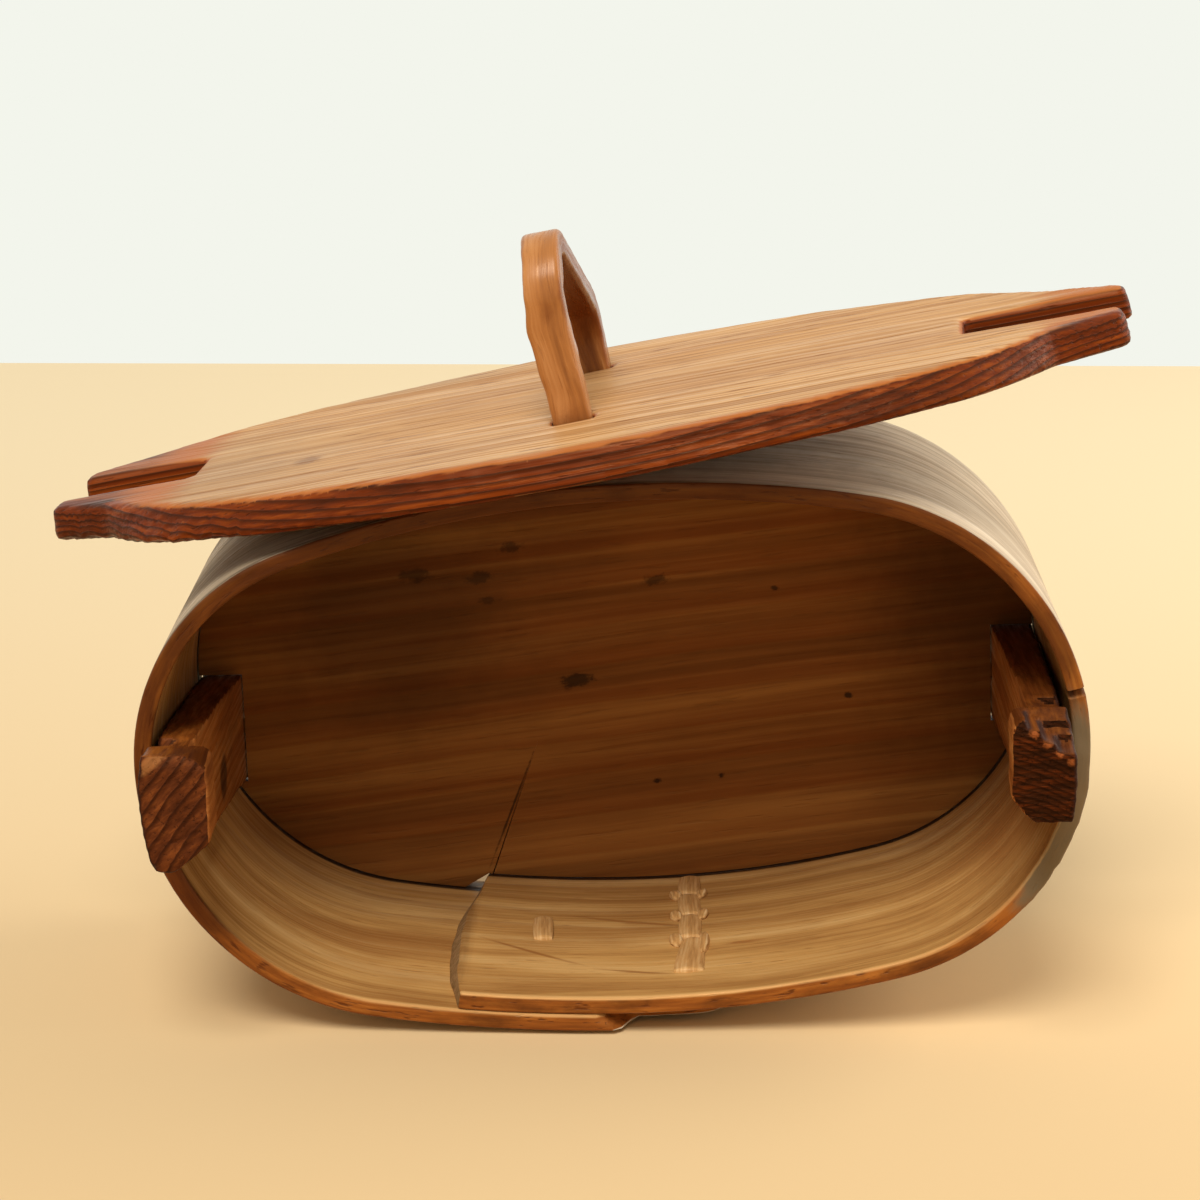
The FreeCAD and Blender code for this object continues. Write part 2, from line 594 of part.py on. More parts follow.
def stitch(span):
    """One loop of split root through both layers of the lap."""
    shift, width, near, far = span
    top = surface_height(shift, False) + STRAP_GAP
    bottom = surface_height(shift, True) - STRAP_GAP
    outside = Part.makeBox(width, far - near, top - bottom + 2 * STRAP_THICKNESS,
                           FreeCAD.Vector(shift - width / 2, near, bottom - STRAP_THICKNESS))
    inside = Part.makeBox(width + 2 * CUT_MARGIN, far - near - 2 * STRAP_THICKNESS, top - bottom,
                          FreeCAD.Vector(shift - width / 2 - CUT_MARGIN, near + STRAP_THICKNESS, bottom))
    return outside.cut(inside)


def stitch_slits():
    """Slits through the lap for the legs of the stitches."""
    slits = []
    for shift, width, near, far in stitch_spans():
        wide = width + 2 * SLIT_CLEARANCE
        long = STRAP_THICKNESS + 2 * SLIT_CLEARANCE
        top = surface_height(shift, False) + BAND_WALL
        bottom = surface_height(shift, True) - BAND_WALL
        for start in (near, far - STRAP_THICKNESS):
            corner = FreeCAD.Vector(shift - wide / 2, start - SLIT_CLEARANCE, bottom)
            slits.append(Part.makeBox(wide, long, top - bottom, corner))
    return slits


def root_stitch():
    """The single stitch near the inner end of the strip."""
    return stitch(stitch_spans()[0])


def root_lashing():
    """The row of stitches that sews the lap across its whole width."""
    return Part.makeCompound([stitch(span) for span in stitch_spans()[1:]])


def lid_corner_points(top, far, right):
    """One corner of the lid's outline: shoulder, bow point, notch and prong tip."""
    shoulder_in = EDGE_BEVEL_SHOULDER if top else (0.0, 0.0)
    notch_in = EDGE_BEVEL_NOTCH if top else 0.0
    tip_in = EDGE_BEVEL_TIP if top else 0.0
    shoulder = (LID_SHOULDER[0] - shoulder_in[0], LID_SHOULDER[1] - shoulder_in[1])
    notch = (LID_NOTCH[0] - notch_in, LID_NOTCH[1] - notch_in)
    middle = ((shoulder[0] + notch[0]) / 2, (shoulder[1] + notch[1]) / 2)
    run = (notch[0] - shoulder[0], notch[1] - shoulder[1])
    length = math.hypot(*run)
    bow = (middle[0] - run[1] / length * LID_SHOULDER_BOW, middle[1] + run[0] / length * LID_SHOULDER_BOW)
    reach = PRONG_REACHES[far][right]
    width = FAR_PRONG_TIP_WIDTH if far else NEAR_PRONG_TIP_WIDTH
    tip = (reach - tip_in, SLOT_HALF_WIDTH + width - tip_in)
    return shoulder, bow, notch, tip


def lid_outline(height, top):
    """Outline of the lid at a height, as a closed wire."""
    def vector(point):
        return FreeCAD.Vector(point[0], point[1], height)

    side = LID_HALF_WIDTH - (EDGE_BEVEL_MIDDLE if top else 0.0)
    edges = []
    for across in (1, -1):
        shoulder = lid_corner_points(top, False, False)[0]
        left = vector((-shoulder[0], across * shoulder[1]))
        right = vector((shoulder[0], across * shoulder[1]))
        edges.append(Part.Arc(left, vector((0, across * side)), right).toShape())
        for along in (1, -1):
            corner = lid_corner_points(top, across > 0, along > 0)
            shoulder_at, bow_at, notch_at, tip_at = [vector((along * x, across * y)) for x, y in corner]
            mouth = FreeCAD.Vector(tip_at.x, across * SLOT_HALF_WIDTH, height)
            slot_end = SLOT_END_RIGHT if along > 0 else SLOT_END_LEFT
            slot_corner = vector((along * slot_end, across * SLOT_HALF_WIDTH))
            edges.append(Part.Arc(shoulder_at, bow_at, notch_at).toShape())
            edges.append(Part.makeLine(notch_at, tip_at))
            edges.append(Part.makeLine(tip_at, mouth))
            edges.append(Part.makeLine(mouth, slot_corner))
    for x in (SLOT_END_RIGHT, -SLOT_END_LEFT):
        edges.append(Part.makeLine(vector((x, SLOT_HALF_WIDTH)), vector((x, -SLOT_HALF_WIDTH))))
    return Part.Wire(Part.__sortEdges__(edges))


def lid_board():
    """The lid: one board with sloping edges, a slot at each end and two sockets for the bow."""
    board = Part.makeLoft([lid_outline(0, False), lid_outline(LID_THICKNESS, True)], True, True)
    for place in leg_places():
        board = board.cut(socket(place))
    return board


def turned_bow(shape):
    """Swing a piece of the bow about its near leg, so that its far leg stands more to the left."""
    shape.rotate(FreeCAD.Vector(BOW_SHIFT, leg_places()[0], 0), Z_AXIS, BOW_TURN)
    return shape


def leg_places():
    """Middle of each leg of the bow across the lid."""
    return (-BOW_NEAR_REACH + BOW_THICKNESS / 2, BOW_FAR_REACH - BOW_THICKNESS / 2)


def socket(place):
    """Hole through the lid for one leg of the bow."""
    wide = BOW_WIDTH + 2 * SOCKET_CLEARANCE
    long = BOW_THICKNESS + 2 * SOCKET_CLEARANCE
    corner = FreeCAD.Vector(BOW_SHIFT - wide / 2, place - long / 2, -CUT_MARGIN)
    return turned_bow(Part.makeBox(wide, long, LID_THICKNESS + 2 * CUT_MARGIN, corner))


def bow_outline(inset):
    """One side of the bow from the near foot over the top to the far foot, as edges."""
    foot = -LEG_BELOW_LID
    near = -BOW_NEAR_REACH + inset
    far = BOW_FAR_REACH - inset
    radius = BOW_RADIUS - inset
    far_radius = BOW_FAR_RADIUS - inset
    turn = math.radians(90 - BOW_SLOPE)
    top_height = LID_THICKNESS + BOW_HEIGHT - BOW_RADIUS
    centre_y = BOW_RADIUS - BOW_NEAR_REACH
    far_y = BOW_FAR_REACH - BOW_FAR_RADIUS
    slope_start = (centre_y + BOW_RADIUS * math.cos(turn), top_height + BOW_RADIUS * math.sin(turn))
    slope_end_y = far_y + BOW_FAR_RADIUS * math.cos(turn)
    fall = (slope_end_y - slope_start[0]) / math.tan(turn)
    far_height = slope_start[1] - fall - BOW_FAR_RADIUS * math.sin(turn)

    def at(centre, height, r, angle):
        return FreeCAD.Vector(0, centre + r * math.cos(angle), height + r * math.sin(angle))

    first = at(centre_y, top_height, radius, math.pi)
    over = at(centre_y, top_height, radius, (math.pi + turn) / 2)
    slope_a = at(centre_y, top_height, radius, turn)
    slope_b = at(far_y, far_height, far_radius, turn)
    bend = at(far_y, far_height, far_radius, turn / 2)
    last = at(far_y, far_height, far_radius, 0)
    near_foot = FreeCAD.Vector(0, near, foot)
    far_foot = FreeCAD.Vector(0, far, foot)
    edges = [Part.makeLine(near_foot, first), Part.Arc(first, over, slope_a).toShape(),
             Part.makeLine(slope_a, slope_b), Part.Arc(slope_b, bend, last).toShape(),
             Part.makeLine(last, far_foot)]
    return edges, near_foot, far_foot


def bow_handle():
    """The bow: a root bent over the lid, its two legs through the lid and wedged below."""
    outer, outer_near, outer_far = bow_outline(0)
    inner, inner_near, inner_far = bow_outline(BOW_THICKNESS)
    ends = [Part.makeLine(outer_near, inner_near), Part.makeLine(outer_far, inner_far)]
    face = Part.Face(Part.Wire(Part.__sortEdges__(outer + inner + ends)))
    solid = face.extrude(X_AXIS * BOW_WIDTH)
    solid.translate(X_AXIS * (BOW_SHIFT - BOW_WIDTH / 2))
    long_edges = [edge for edge in solid.Edges if edge.BoundBox.XLength < BOW_WIDTH / 2
                  and edge.BoundBox.ZMax > LID_THICKNESS]
    solid = turned_bow(solid.makeFillet(BOW_ROUNDING, long_edges))
    return solid.cut([leg_wedge(place) for place in leg_places()])


def leg_wedge(place):
    """Thin wedge driven into the end of a leg from below."""
    low = -LEG_BELOW_LID
    corners = [FreeCAD.Vector(0, place - WEDGE_THICKNESS / 2, low),
               FreeCAD.Vector(0, place + WEDGE_THICKNESS / 2, low),
               FreeCAD.Vector(0, place, low + WEDGE_DEPTH)]
    face = Part.Face(Part.makePolygon(corners + corners[:1]))
    wedge = face.extrude(X_AXIS * WEDGE_WIDTH)
    wedge.translate(X_AXIS * (BOW_SHIFT - WEDGE_WIDTH / 2))
    return turned_bow(wedge)


def handle_wedges():
    """Both wedges of the bow."""
    return Part.makeCompound([leg_wedge(place) for place in leg_places()])


def box_turn():
    """Turn of the box about its depth, as it lies rolled towards the lap."""
    return FreeCAD.Rotation(Y_AXIS, ROLL)


def lid_turn():
    """Turn of the lid as it lies on the box."""
    return FreeCAD.Rotation(Y_AXIS, -LID_TILT).multiply(
        FreeCAD.Rotation(X_AXIS, LID_PITCH)).multiply(FreeCAD.Rotation(Z_AXIS, LID_YAW))


def lid_placement():
    """Place of the lid: its underside rests on the upper left side of the band, at the far edge."""
    turn = lid_turn()
    normal = turn.multVec(Z_AXIS)
    arc = band_arcs()[4]
    centre = box_turn().multVec(FreeCAD.Vector(arc.x, 0, arc.z))
    level = math.hypot(normal.x, normal.z)
    support = normal.dot(centre) + (arc.radius + BAND_WALL) * level + max(normal.y, 0) * BAND_DEPTH
    support += LID_REST_GAP
    along = FreeCAD.Vector(math.cos(math.radians(LID_TILT)), 0, math.sin(math.radians(LID_TILT)))
    touch = FreeCAD.Vector(centre.x + normal.x * (arc.radius + BAND_WALL), 0,
                           centre.z + normal.z * (arc.radius + BAND_WALL))
    place = touch + along * LID_SLIDE_ALONG + Y_AXIS * (BAND_DEPTH * LID_MIDDLE_SHARE)
    place = place + Z_AXIS * ((support - normal.dot(place)) / normal.z)
    return FreeCAD.Placement(place, turn)


def build():
    """Every piece in its place, with the origin below the middle of the whole object."""
    in_box = {
        "band": band(),
        "base_board": base_board(),
        "base_pegs": base_pegs(),
        "post_left": post_solid(LEFT_POST),
        "post_right": post_solid(RIGHT_POST),
        "post_peg_left": post_peg(LEFT_POST, POST_PEG_RADIUS, 0),
        "post_peg_right": post_peg(RIGHT_POST, POST_PEG_RADIUS, 0),
        "root_lashing": root_lashing(),
        "root_stitch": root_stitch(),
    }
    on_lid = {
        "lid_board": lid_board(),
        "bow_handle": bow_handle(),
        "handle_wedges": handle_wedges(),
    }
    box_place = FreeCAD.Placement(FreeCAD.Vector(0, 0, 0), box_turn())
    lid_place = lid_placement()
    for shape in in_box.values():
        shape.Placement = box_place.multiply(shape.Placement)
    for shape in on_lid.values():
        shape.Placement = lid_place.multiply(shape.Placement)
    return {**in_box, **on_lid}


def origin_shift(pieces):
    """Shift that brings the middle of the underside of the whole object to the origin."""
    box = Part.makeCompound(list(pieces.values())).BoundBox
    return FreeCAD.Vector(-box.Center.x, -box.Center.y, -box.ZMin)


def main():
    """Write one file for each piece."""
    os.makedirs("parts", exist_ok=True)
    pieces = build()
    shift = origin_shift(pieces)
    for name, shape in pieces.items():
        shape.translate(shift)
        shape.exportStep("parts/" + name + ".step")
        print(name, len(shape.Solids), "solids", round(shape.Volume, 1), "mm3", shape.isValid())


if __name__ == "__main__":
    main()
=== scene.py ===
"""Dress an old bentwood food box: lapped band, sprung posts, loose lid and bow."""

import json
import logging
import math
from dataclasses import dataclass, field
from enum import Enum
from typing import Callable, Optional, Sequence

import bpy
from mathutils import Euler, Matrix, Vector, noise

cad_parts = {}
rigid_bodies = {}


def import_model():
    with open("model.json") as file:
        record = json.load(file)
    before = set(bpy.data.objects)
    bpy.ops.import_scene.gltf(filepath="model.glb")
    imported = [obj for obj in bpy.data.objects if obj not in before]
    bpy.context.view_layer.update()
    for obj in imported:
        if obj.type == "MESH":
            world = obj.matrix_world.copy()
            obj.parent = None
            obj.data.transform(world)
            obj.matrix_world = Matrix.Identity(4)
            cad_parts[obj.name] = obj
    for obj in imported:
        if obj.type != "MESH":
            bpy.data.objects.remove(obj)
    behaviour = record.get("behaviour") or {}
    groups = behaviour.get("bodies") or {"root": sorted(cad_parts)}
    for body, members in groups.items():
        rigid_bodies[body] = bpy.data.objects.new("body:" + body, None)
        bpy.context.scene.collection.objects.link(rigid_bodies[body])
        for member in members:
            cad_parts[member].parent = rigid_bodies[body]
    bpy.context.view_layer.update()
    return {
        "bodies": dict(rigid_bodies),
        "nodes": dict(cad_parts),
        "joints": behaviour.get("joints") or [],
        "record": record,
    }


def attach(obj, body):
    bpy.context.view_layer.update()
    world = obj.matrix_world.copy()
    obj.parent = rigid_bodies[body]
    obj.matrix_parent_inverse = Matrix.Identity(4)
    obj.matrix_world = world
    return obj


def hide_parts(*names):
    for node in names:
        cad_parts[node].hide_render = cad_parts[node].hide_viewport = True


logging.basicConfig(level=logging.INFO, format="%(levelname)s %(message)s")
LOG = logging.getLogger("food_box")

MM = 0.001
GRAIN = "grain"
# Name of the stored share that brings in a second finish: real wear on the lid and the band's outside, painted shade
# on the posts and the band's inside.
WEAR_AND_SHADE = "worn"
SEED = 1

Colour = tuple[float, float, float, float]
Point = tuple[float, float, float]
Span = tuple[float, float]
Plateau = tuple[Span, Span]


def tone(code: str) -> Colour:
    """Linear colour of a six-figure web colour.

    Args:
        code: Two figures each for red, green and blue.

    Returns:
        The colour, fully solid.
    """
    knee, slope, lift, power = 0.04045, 12.92, 0.055, 2.4
    channels = [int(code[i : i + 2], 16) / 255 for i in (0, 2, 4)]
    linear = [c / slope if c <= knee else ((c + lift) / (1 + lift)) ** power for c in channels]
    return (linear[0], linear[1], linear[2], 1.0)


def smooth(value: float, low: float, high: float) -> float:
    """Smooth step of a value from 0 at low to 1 at high.

    Args:
        value: The value.
        low: Where the step starts.
        high: Where the step ends.

    Returns:
        A share from 0 to 1.
    """
    share = min(max((value - low) / (high - low), 0.0), 1.0)
    return share * share * (3 - 2 * share)


def plateau(value: float, rise: Span, fall: Span) -> float:
    """Share that rises from 0 to 1 over one span and falls back over another.

    Args:
        value: The value.
        rise: Where the share starts and ends its rise.
        fall: Where it starts and ends its fall.

    Returns:
        A share from 0 to 1.
    """
    return smooth(value, *rise) * (1 - smooth(value, *fall))


def waver(x: float, y: float, z: float) -> float:
    """Soft random value from -1 to 1 that belongs to a place."""
    return noise.noise(Vector((x, y, z)))


def report(piece: bpy.types.Object) -> None:
    """Log a finished piece with its number of faces."""
    LOG.info("%s: %d faces", piece.name, len(piece.data.polygons))


class Source(Enum):
    """Where a finish reads the direction of its grain."""

    STORED = "stored"
    OBJECT = "object"


class Side(Enum):
    """An end of the box, or a side of a strap, by its direction along the box."""

    LEFT = -1
    RIGHT = 1


@dataclass(frozen=True)
class Mark:
    """One stain, rub mark or knot on a piece, in its grain's own directions, in millimetres."""

    centre: Point
    reach: Point
    colour: str
    strength: float = 0.8
    edge: float = 0.5
    ragged: float = 0.5
    lean: float = 0.0


@dataclass(frozen=True)
class Rings:
    """Year rings of a board: a pith line across and through the grain, and the rings' width in millimetres."""

    width: float
    pith: Span
    colour: str
    strength: float = 0.5
    start: float = 0.35
    wave: float = 2.0
    wave_scale: Point = (4.0, 18.0, 18.0)


@dataclass(frozen=True)
class Wood:
    """A wood finish: three tones, the grain's fineness, gloss and marks."""

    name: str
    light: str
    middle: str
    dark: str
    band_scale: Point = (2.4, 80.0, 80.0)
    fibre_scale: Point = (12.0, 650.0, 650.0)
    fibre_share: float = 0.45
    contrast: float = 0.5
    warp: float = 0.004
    warp_scale: Point = (5.0, 22.0, 22.0)
    pores: float = 0.5
    pore_scale: Point = (95.0, 1100.0, 1100.0)
    blotch: float = 0.3
    blotch_colour: str = "4a2a12"
    blotch_scale: Point = (14.0, 26.0, 26.0)
    rough: float = 0.5
    rough_spread: float = 0.14
    bump: float = 0.5
    relief: float = 0.45
    gloss: float = 0.2
    gloss_tone: str = "ffd0a0"
    coat: float = 0.0
    source: Source = Source.STORED
    turn: Point = (0.0, 0.0, 0.0)
    rings: Optional[Rings] = None
    marks: tuple[Mark, ...] = ()


class Shader:
    """Small hand for wiring one material's nodes."""

    def __init__(self, name: str) -> None:
        """Start an empty material.

        Args:
            name: Name of the material.
        """
        self.material = bpy.data.materials.new(name)
        self.material.use_nodes = True
        self.tree = self.material.node_tree
        self.surface = self.tree.nodes["Principled BSDF"]

    def node(self, kind: str) -> bpy.types.Node:
        """Add a node of one kind."""
        return self.tree.nodes.new(kind)

    def link(self, out: bpy.types.NodeSocket, into: bpy.types.NodeSocket) -> None:
        """Join two sockets."""
        self.tree.links.new(out, into)

    def put(self, socket: bpy.types.NodeSocket, value: object) -> None:
        """Give a socket a plain value or another node's output.

        Args:
            socket: The input that takes the value.
            value: A number, a colour, a vector or an output socket.
        """
        if isinstance(value, bpy.types.NodeSocket):
            self.link(value, socket)
        else:
            socket.default_value = value

    def scaled(self, vector: bpy.types.NodeSocket, scale: Point,
               place: Point = (0, 0, 0)) -> bpy.types.NodeSocket:
        """Vector stretched along its three directions.

        Args:
            vector: Vector output to stretch.
            scale: Factor along each direction.
            place: Shift added after the stretch.

        Returns:
            The stretched vector.
        """
        node = self.node("ShaderNodeMapping")
        self.link(vector, node.inputs["Vector"])
        node.inputs["Scale"].default_value = scale
        node.inputs["Location"].default_value = place
        return node.outputs["Vector"]

    def noise_node(self, vector: bpy.types.NodeSocket, detail: float) -> bpy.types.Node:
        """Noise node over a vector that is already scaled.

        Args:
            vector: The scaled vector.
            detail: How many finer layers the noise has.

        Returns:
            The node.
        """
        node = self.node("ShaderNodeTexNoise")
        self.link(vector, node.inputs["Vector"])
        node.inputs["Scale"].default_value = 1.0
        node.inputs["Detail"].default_value = detail
        return node

    def noise(self, vector: bpy.types.NodeSocket, detail: float = 3.0, rough: float = 0.55) -> bpy.types.NodeSocket:
        """Soft random value over a vector that is already scaled.

        Args:
            vector: The scaled vector.
            detail: How many finer layers the noise has.
            rough: How strong the finer layers are.

        Returns:
            The value, from 0 to 1.
        """
        node = self.noise_node(vector, detail)
        node.inputs["Roughness"].default_value = rough
        return node.outputs["Fac"]

    def noise_vector(self, vector: bpy.types.NodeSocket) -> bpy.types.NodeSocket:
        """Three soft random values over a vector that is already scaled."""
        return self.noise_node(vector, 2.0).outputs["Color"]

    def maths(self, kind: str, first: object, second: object = 0.0,
              clamp: bool = False) -> bpy.types.NodeSocket:
        """Result of one sum on two numbers.

        Args:
            kind: Name of the operation.
            first: Number or output.
            second: Number or output.
            clamp: Whether the result stays between 0 and 1.

        Returns:
            The result.
        """
        node = self.node("ShaderNodeMath")
        node.operation = kind
        node.use_clamp = clamp
        self.put(node.inputs[0], first)
        self.put(node.inputs[1], second)
        return node.outputs[0]

    def plus(self, first: object, second: object) -> bpy.types.NodeSocket:
        """Sum of two numbers."""
        return self.maths("ADD", first, second)

    def minus(self, first: object, second: object) -> bpy.types.NodeSocket:
        """Difference of two numbers."""
        return self.maths("SUBTRACT", first, second)

    def times(self, first: object, second: object) -> bpy.types.NodeSocket:
        """Product of two numbers."""
        return self.maths("MULTIPLY", first, second)

    def vector_maths(self, kind: str, first: object, second: object) -> bpy.types.Node:
        """Node that works one sum on two vectors.

        Args:
            kind: Name of the operation.
            first: Vector or output.
            second: Vector or output.

        Returns:
            The node, because a length comes out of another socket than a vector.
        """
        node = self.node("ShaderNodeVectorMath")
        node.operation = kind
        self.put(node.inputs[0], first)
        self.put(node.inputs[1], second)
        return node

    def spread(self, value: object, low: float, high: float, start: float = 0.0,
               end: float = 1.0) -> bpy.types.NodeSocket:
        """Value mapped smoothly from one range to another.

        Args:
            value: Number or output to map.
            low: Value that gives start.
            high: Value that gives end.
            start: Result at low.
            end: Result at high.

        Returns:
            The mapped value.
        """
        node = self.node("ShaderNodeMapRange")
        node.interpolation_type = "SMOOTHSTEP"
        self.put(node.inputs["Value"], value)
        node.inputs["From Min"].default_value = low
        node.inputs["From Max"].default_value = high
        node.inputs["To Min"].default_value = start
        node.inputs["To Max"].default_value = end
        return node.outputs["Result"]

    def blend(self, share: object, first: object, second: object) -> bpy.types.NodeSocket:
        """Two numbers mixed by a share.

        Args:
            share: Number or output from 0 to 1.
            first: Number or output at 0.
            second: Number or output at 1.

        Returns:
            The mixed number.
        """
        node = self.node("ShaderNodeMix")
        self.put(node.inputs[0], share)
        self.put(node.inputs[2], first)
        self.put(node.inputs[3], second)
        return node.outputs[0]

    def mixed(self, share: object, first: object, second: object, way: str = "MIX") -> bpy.types.NodeSocket:
        """Two colours mixed by a share.

        Args:
            share: Number or output from 0 to 1.
            first: Colour at 0.
            second: Colour at 1.
            way: Name of the blend.

        Returns:
            The mixed colour.
        """
        node = self.node("ShaderNodeMix")
        node.data_type = "RGBA"
        node.blend_type = way
        self.put(node.inputs[0], share)
        self.put(node.inputs[6], first)
        self.put(node.inputs[7], second)
        return node.outputs[2]

    def ramp(self, share: bpy.types.NodeSocket, stops: Sequence[tuple[float, Colour]]) -> bpy.types.NodeSocket:
        """Colour ramp over a value.

        Args:
            share: The value.
            stops: Places on the ramp, from low to high, with their colours.

        Returns:
            The colour.
        """
        node = self.node("ShaderNodeValToRGB")
        points = node.color_ramp.elements
        points[0].position, points[0].color = stops[0]
        points[1].position, points[1].color = stops[-1]
        for position, colour in stops[1:-1]:
            points.new(position).color = colour
        self.link(share, node.inputs["Fac"])
        return node.outputs["Color"]

    def grain_vector(self, source: Source, turn: Point) -> bpy.types.NodeSocket:
        """Vector whose first direction runs along the grain, in metres.

        Args:
            source: Whether the piece stores its grain or has it along its own axes.
            turn: Turn in degrees that brings the grain to the first direction.

        Returns:
            The vector.
        """
        if source is Source.STORED:
            node = self.node("ShaderNodeAttribute")
            node.attribute_name = GRAIN
            vector = node.outputs["Vector"]
        else:
            vector = self.node("ShaderNodeTexCoord").outputs["Object"]
        mapping = self.node("ShaderNodeMapping")
        mapping.inputs["Rotation"].default_value = [math.radians(t) for t in turn]
        self.link(vector, mapping.inputs["Vector"])
        return mapping.outputs["Vector"]


class WoodMaker:
    """Builds the material of one wood finish, or of two that meet by a stored share of wear and painted shade."""

    FIBRE_SHIFT: Point = (1.7, 0.4, 2.2)
    PORE_SHIFT: Point = (0.3, 5.1, 1.2)
    PORE_SPAN: Span = (0.60, 0.72)
    BLOTCH_SHIFT: Point = (4.4, 1.0, 7.0)
    BLOTCH_SPAN: Span = (0.42, 0.72)
    RING_SHIFT: Point = (2.2, 0.0, 5.0)
    LATE_END = 0.88
    RING_EDGE: Span = (0.92, 1.0)
    MARK_WAVES = 1.6
    MARK_FINEST = 420.0
    MARK_SHIFT = 3.1
    MARK_SWING = 2.2
    TONE_REACH = 0.42
    TONE_LEAST = 0.05
    BORDER_SCALE: Point = (60.0, 420.0, 420.0)
    BORDER_SPAN: Span = (0.1, 0.9)
    SEAM_GAIN = 3.0
    COAT_ROUGH = 0.25

    def __init__(self, wood: Wood, worn: Optional[Wood], border: float, seam: Optional[str]) -> None:
        """Keep the finishes and start the material.

        Args:
            wood: The main finish.
            worn: The second finish, brought in by the stored share of wear and painted shade, if any.
            border: How ragged the border between both is.
            seam: Colour that shows where both finishes meet, if any.
        """
        self.seam = seam
        self.wood = wood
        self.worn = worn
        self.border = border
        self.shader = Shader(wood.name)

    def mark_share(self, vector: bpy.types.NodeSocket, mark: Mark, order: int) -> bpy.types.NodeSocket:
        """How far a mark covers each place, from 0 to its strength.

        Args:
            vector: Place in the grain's directions.
            mark: The mark.
            order: Its number, which shifts its ragged edge.

        Returns:
            The share.
        """
        shader = self.shader
        away = shader.vector_maths("SUBTRACT", vector, [c * MM for c in mark.centre]).outputs[0]
        if mark.lean:
            lean = shader.node("ShaderNodeMapping")
            lean.inputs["Rotation"].default_value = (0, 0, math.radians(mark.lean))
            shader.link(away, lean.inputs["Vector"])
            away = lean.outputs["Vector"]
        scaled = shader.vector_maths("DIVIDE", away, [r * MM for r in mark.reach]).outputs[0]
        length = shader.vector_maths("LENGTH", scaled, (0, 0, 0)).outputs["Value"]
        fine = [min(self.MARK_WAVES / (r * MM), self.MARK_FINEST) for r in mark.reach]
        ragged = shader.noise(shader.scaled(vector, tuple(fine), (order * self.MARK_SHIFT, 0, 0)), 5.0, 0.65)
        wobble = shader.times(shader.minus(ragged, 0.5), mark.ragged * self.MARK_SWING)
        return shader.spread(shader.plus(length, wobble), 1.0 - mark.edge, 1.0, mark.strength, 0.0)

    def ring_share(self, vector: bpy.types.NodeSocket, rings: Rings) -> bpy.types.NodeSocket:
        """How dark the late wood of the year rings is at each place.

        Args:
            vector: Place in the grain's directions.
            rings: The year rings.

        Returns:
            The share, from 0 in early wood to 1 in late wood.
        """
        shader = self.shader
        pith = (0.0, rings.pith[0] * MM, rings.pith[1] * MM)
        away = shader.vector_maths("SUBTRACT", vector, pith).outputs[0]
        flat = shader.vector_maths("MULTIPLY", away, (0.0, 1.0, 1.0)).outputs[0]
        radius = shader.vector_maths("LENGTH", flat, (0, 0, 0)).outputs["Value"]
        drift = shader.noise(shader.scaled(vector, rings.wave_scale, self.RING_SHIFT), 2.0)
        wave = shader.times(shader.minus(drift, 0.5), rings.wave * 2)
        part = shader.maths("FRACT", shader.plus(shader.maths("DIVIDE", radius, rings.width * MM), wave))
        late = shader.spread(part, rings.start, self.LATE_END)
        return shader.times(late, shader.spread(part, *self.RING_EDGE, 1.0, 0.0))

    def layer(self, wood: Wood) -> tuple[bpy.types.NodeSocket, bpy.types.NodeSocket, bpy.types.NodeSocket]:
        """Wire one finish.

        Args:
            wood: The finish.

        Returns:
            Its colour, its roughness and its relief.
        """
        shader = self.shader
        plain = shader.grain_vector(wood.source, wood.turn)
        pushed = shader.noise_vector(shader.scaled(plain, wood.warp_scale))
        pushed = shader.vector_maths("SUBTRACT", pushed, (0.5, 0.5, 0.5)).outputs[0]
        pushed = shader.vector_maths("MULTIPLY", pushed, (0.0, wood.warp, wood.warp)).outputs[0]
        vector = shader.vector_maths("ADD", plain, pushed).outputs[0]
        band = shader.noise(shader.scaled(vector, wood.band_scale), 3.0)
        fibre = shader.noise(shader.scaled(vector, wood.fibre_scale, self.FIBRE_SHIFT), 4.0, 0.6)
        dots = shader.noise(shader.scaled(vector, wood.pore_scale, self.PORE_SHIFT), 2.0)
        pore = shader.spread(dots, *self.PORE_SPAN)
        clouds = shader.noise(shader.scaled(plain, wood.blotch_scale, self.BLOTCH_SHIFT), 4.0)
        blotch = shader.spread(clouds, *self.BLOTCH_SPAN)
        value = shader.plus(shader.times(band, 1 - wood.fibre_share), shader.times(fibre, wood.fibre_share))
        half = 0.5 * (1 - wood.contrast) * self.TONE_REACH + self.TONE_LEAST
        stops = ((0.5 - half, tone(wood.dark)), (0.5, tone(wood.middle)), (0.5 + half, tone(wood.light)))
        colour = shader.ramp(value, stops)
        height = shader.plus(shader.times(fibre, 0.6), shader.times(band, 0.5))
        height = shader.minus(height, shader.times(pore, 0.25))
        if wood.rings:
            late = self.ring_share(vector, wood.rings)
            colour = shader.mixed(shader.times(late, wood.rings.strength), colour, tone(wood.rings.colour))
            height = shader.plus(height, shader.times(late, 0.2))
        colour = shader.mixed(shader.times(blotch, wood.blotch), colour, tone(wood.blotch_colour))
        colour = shader.mixed(shader.times(pore, wood.pores), colour, tone(wood.dark))
        for order, mark in enumerate(wood.marks):
            colour = shader.mixed(self.mark_share(plain, mark, order), colour, tone(mark.colour))
        rough = shader.spread(fibre, 0.3, 0.7, wood.rough + wood.rough_spread, wood.rough - wood.rough_spread)
        return colour, rough, height

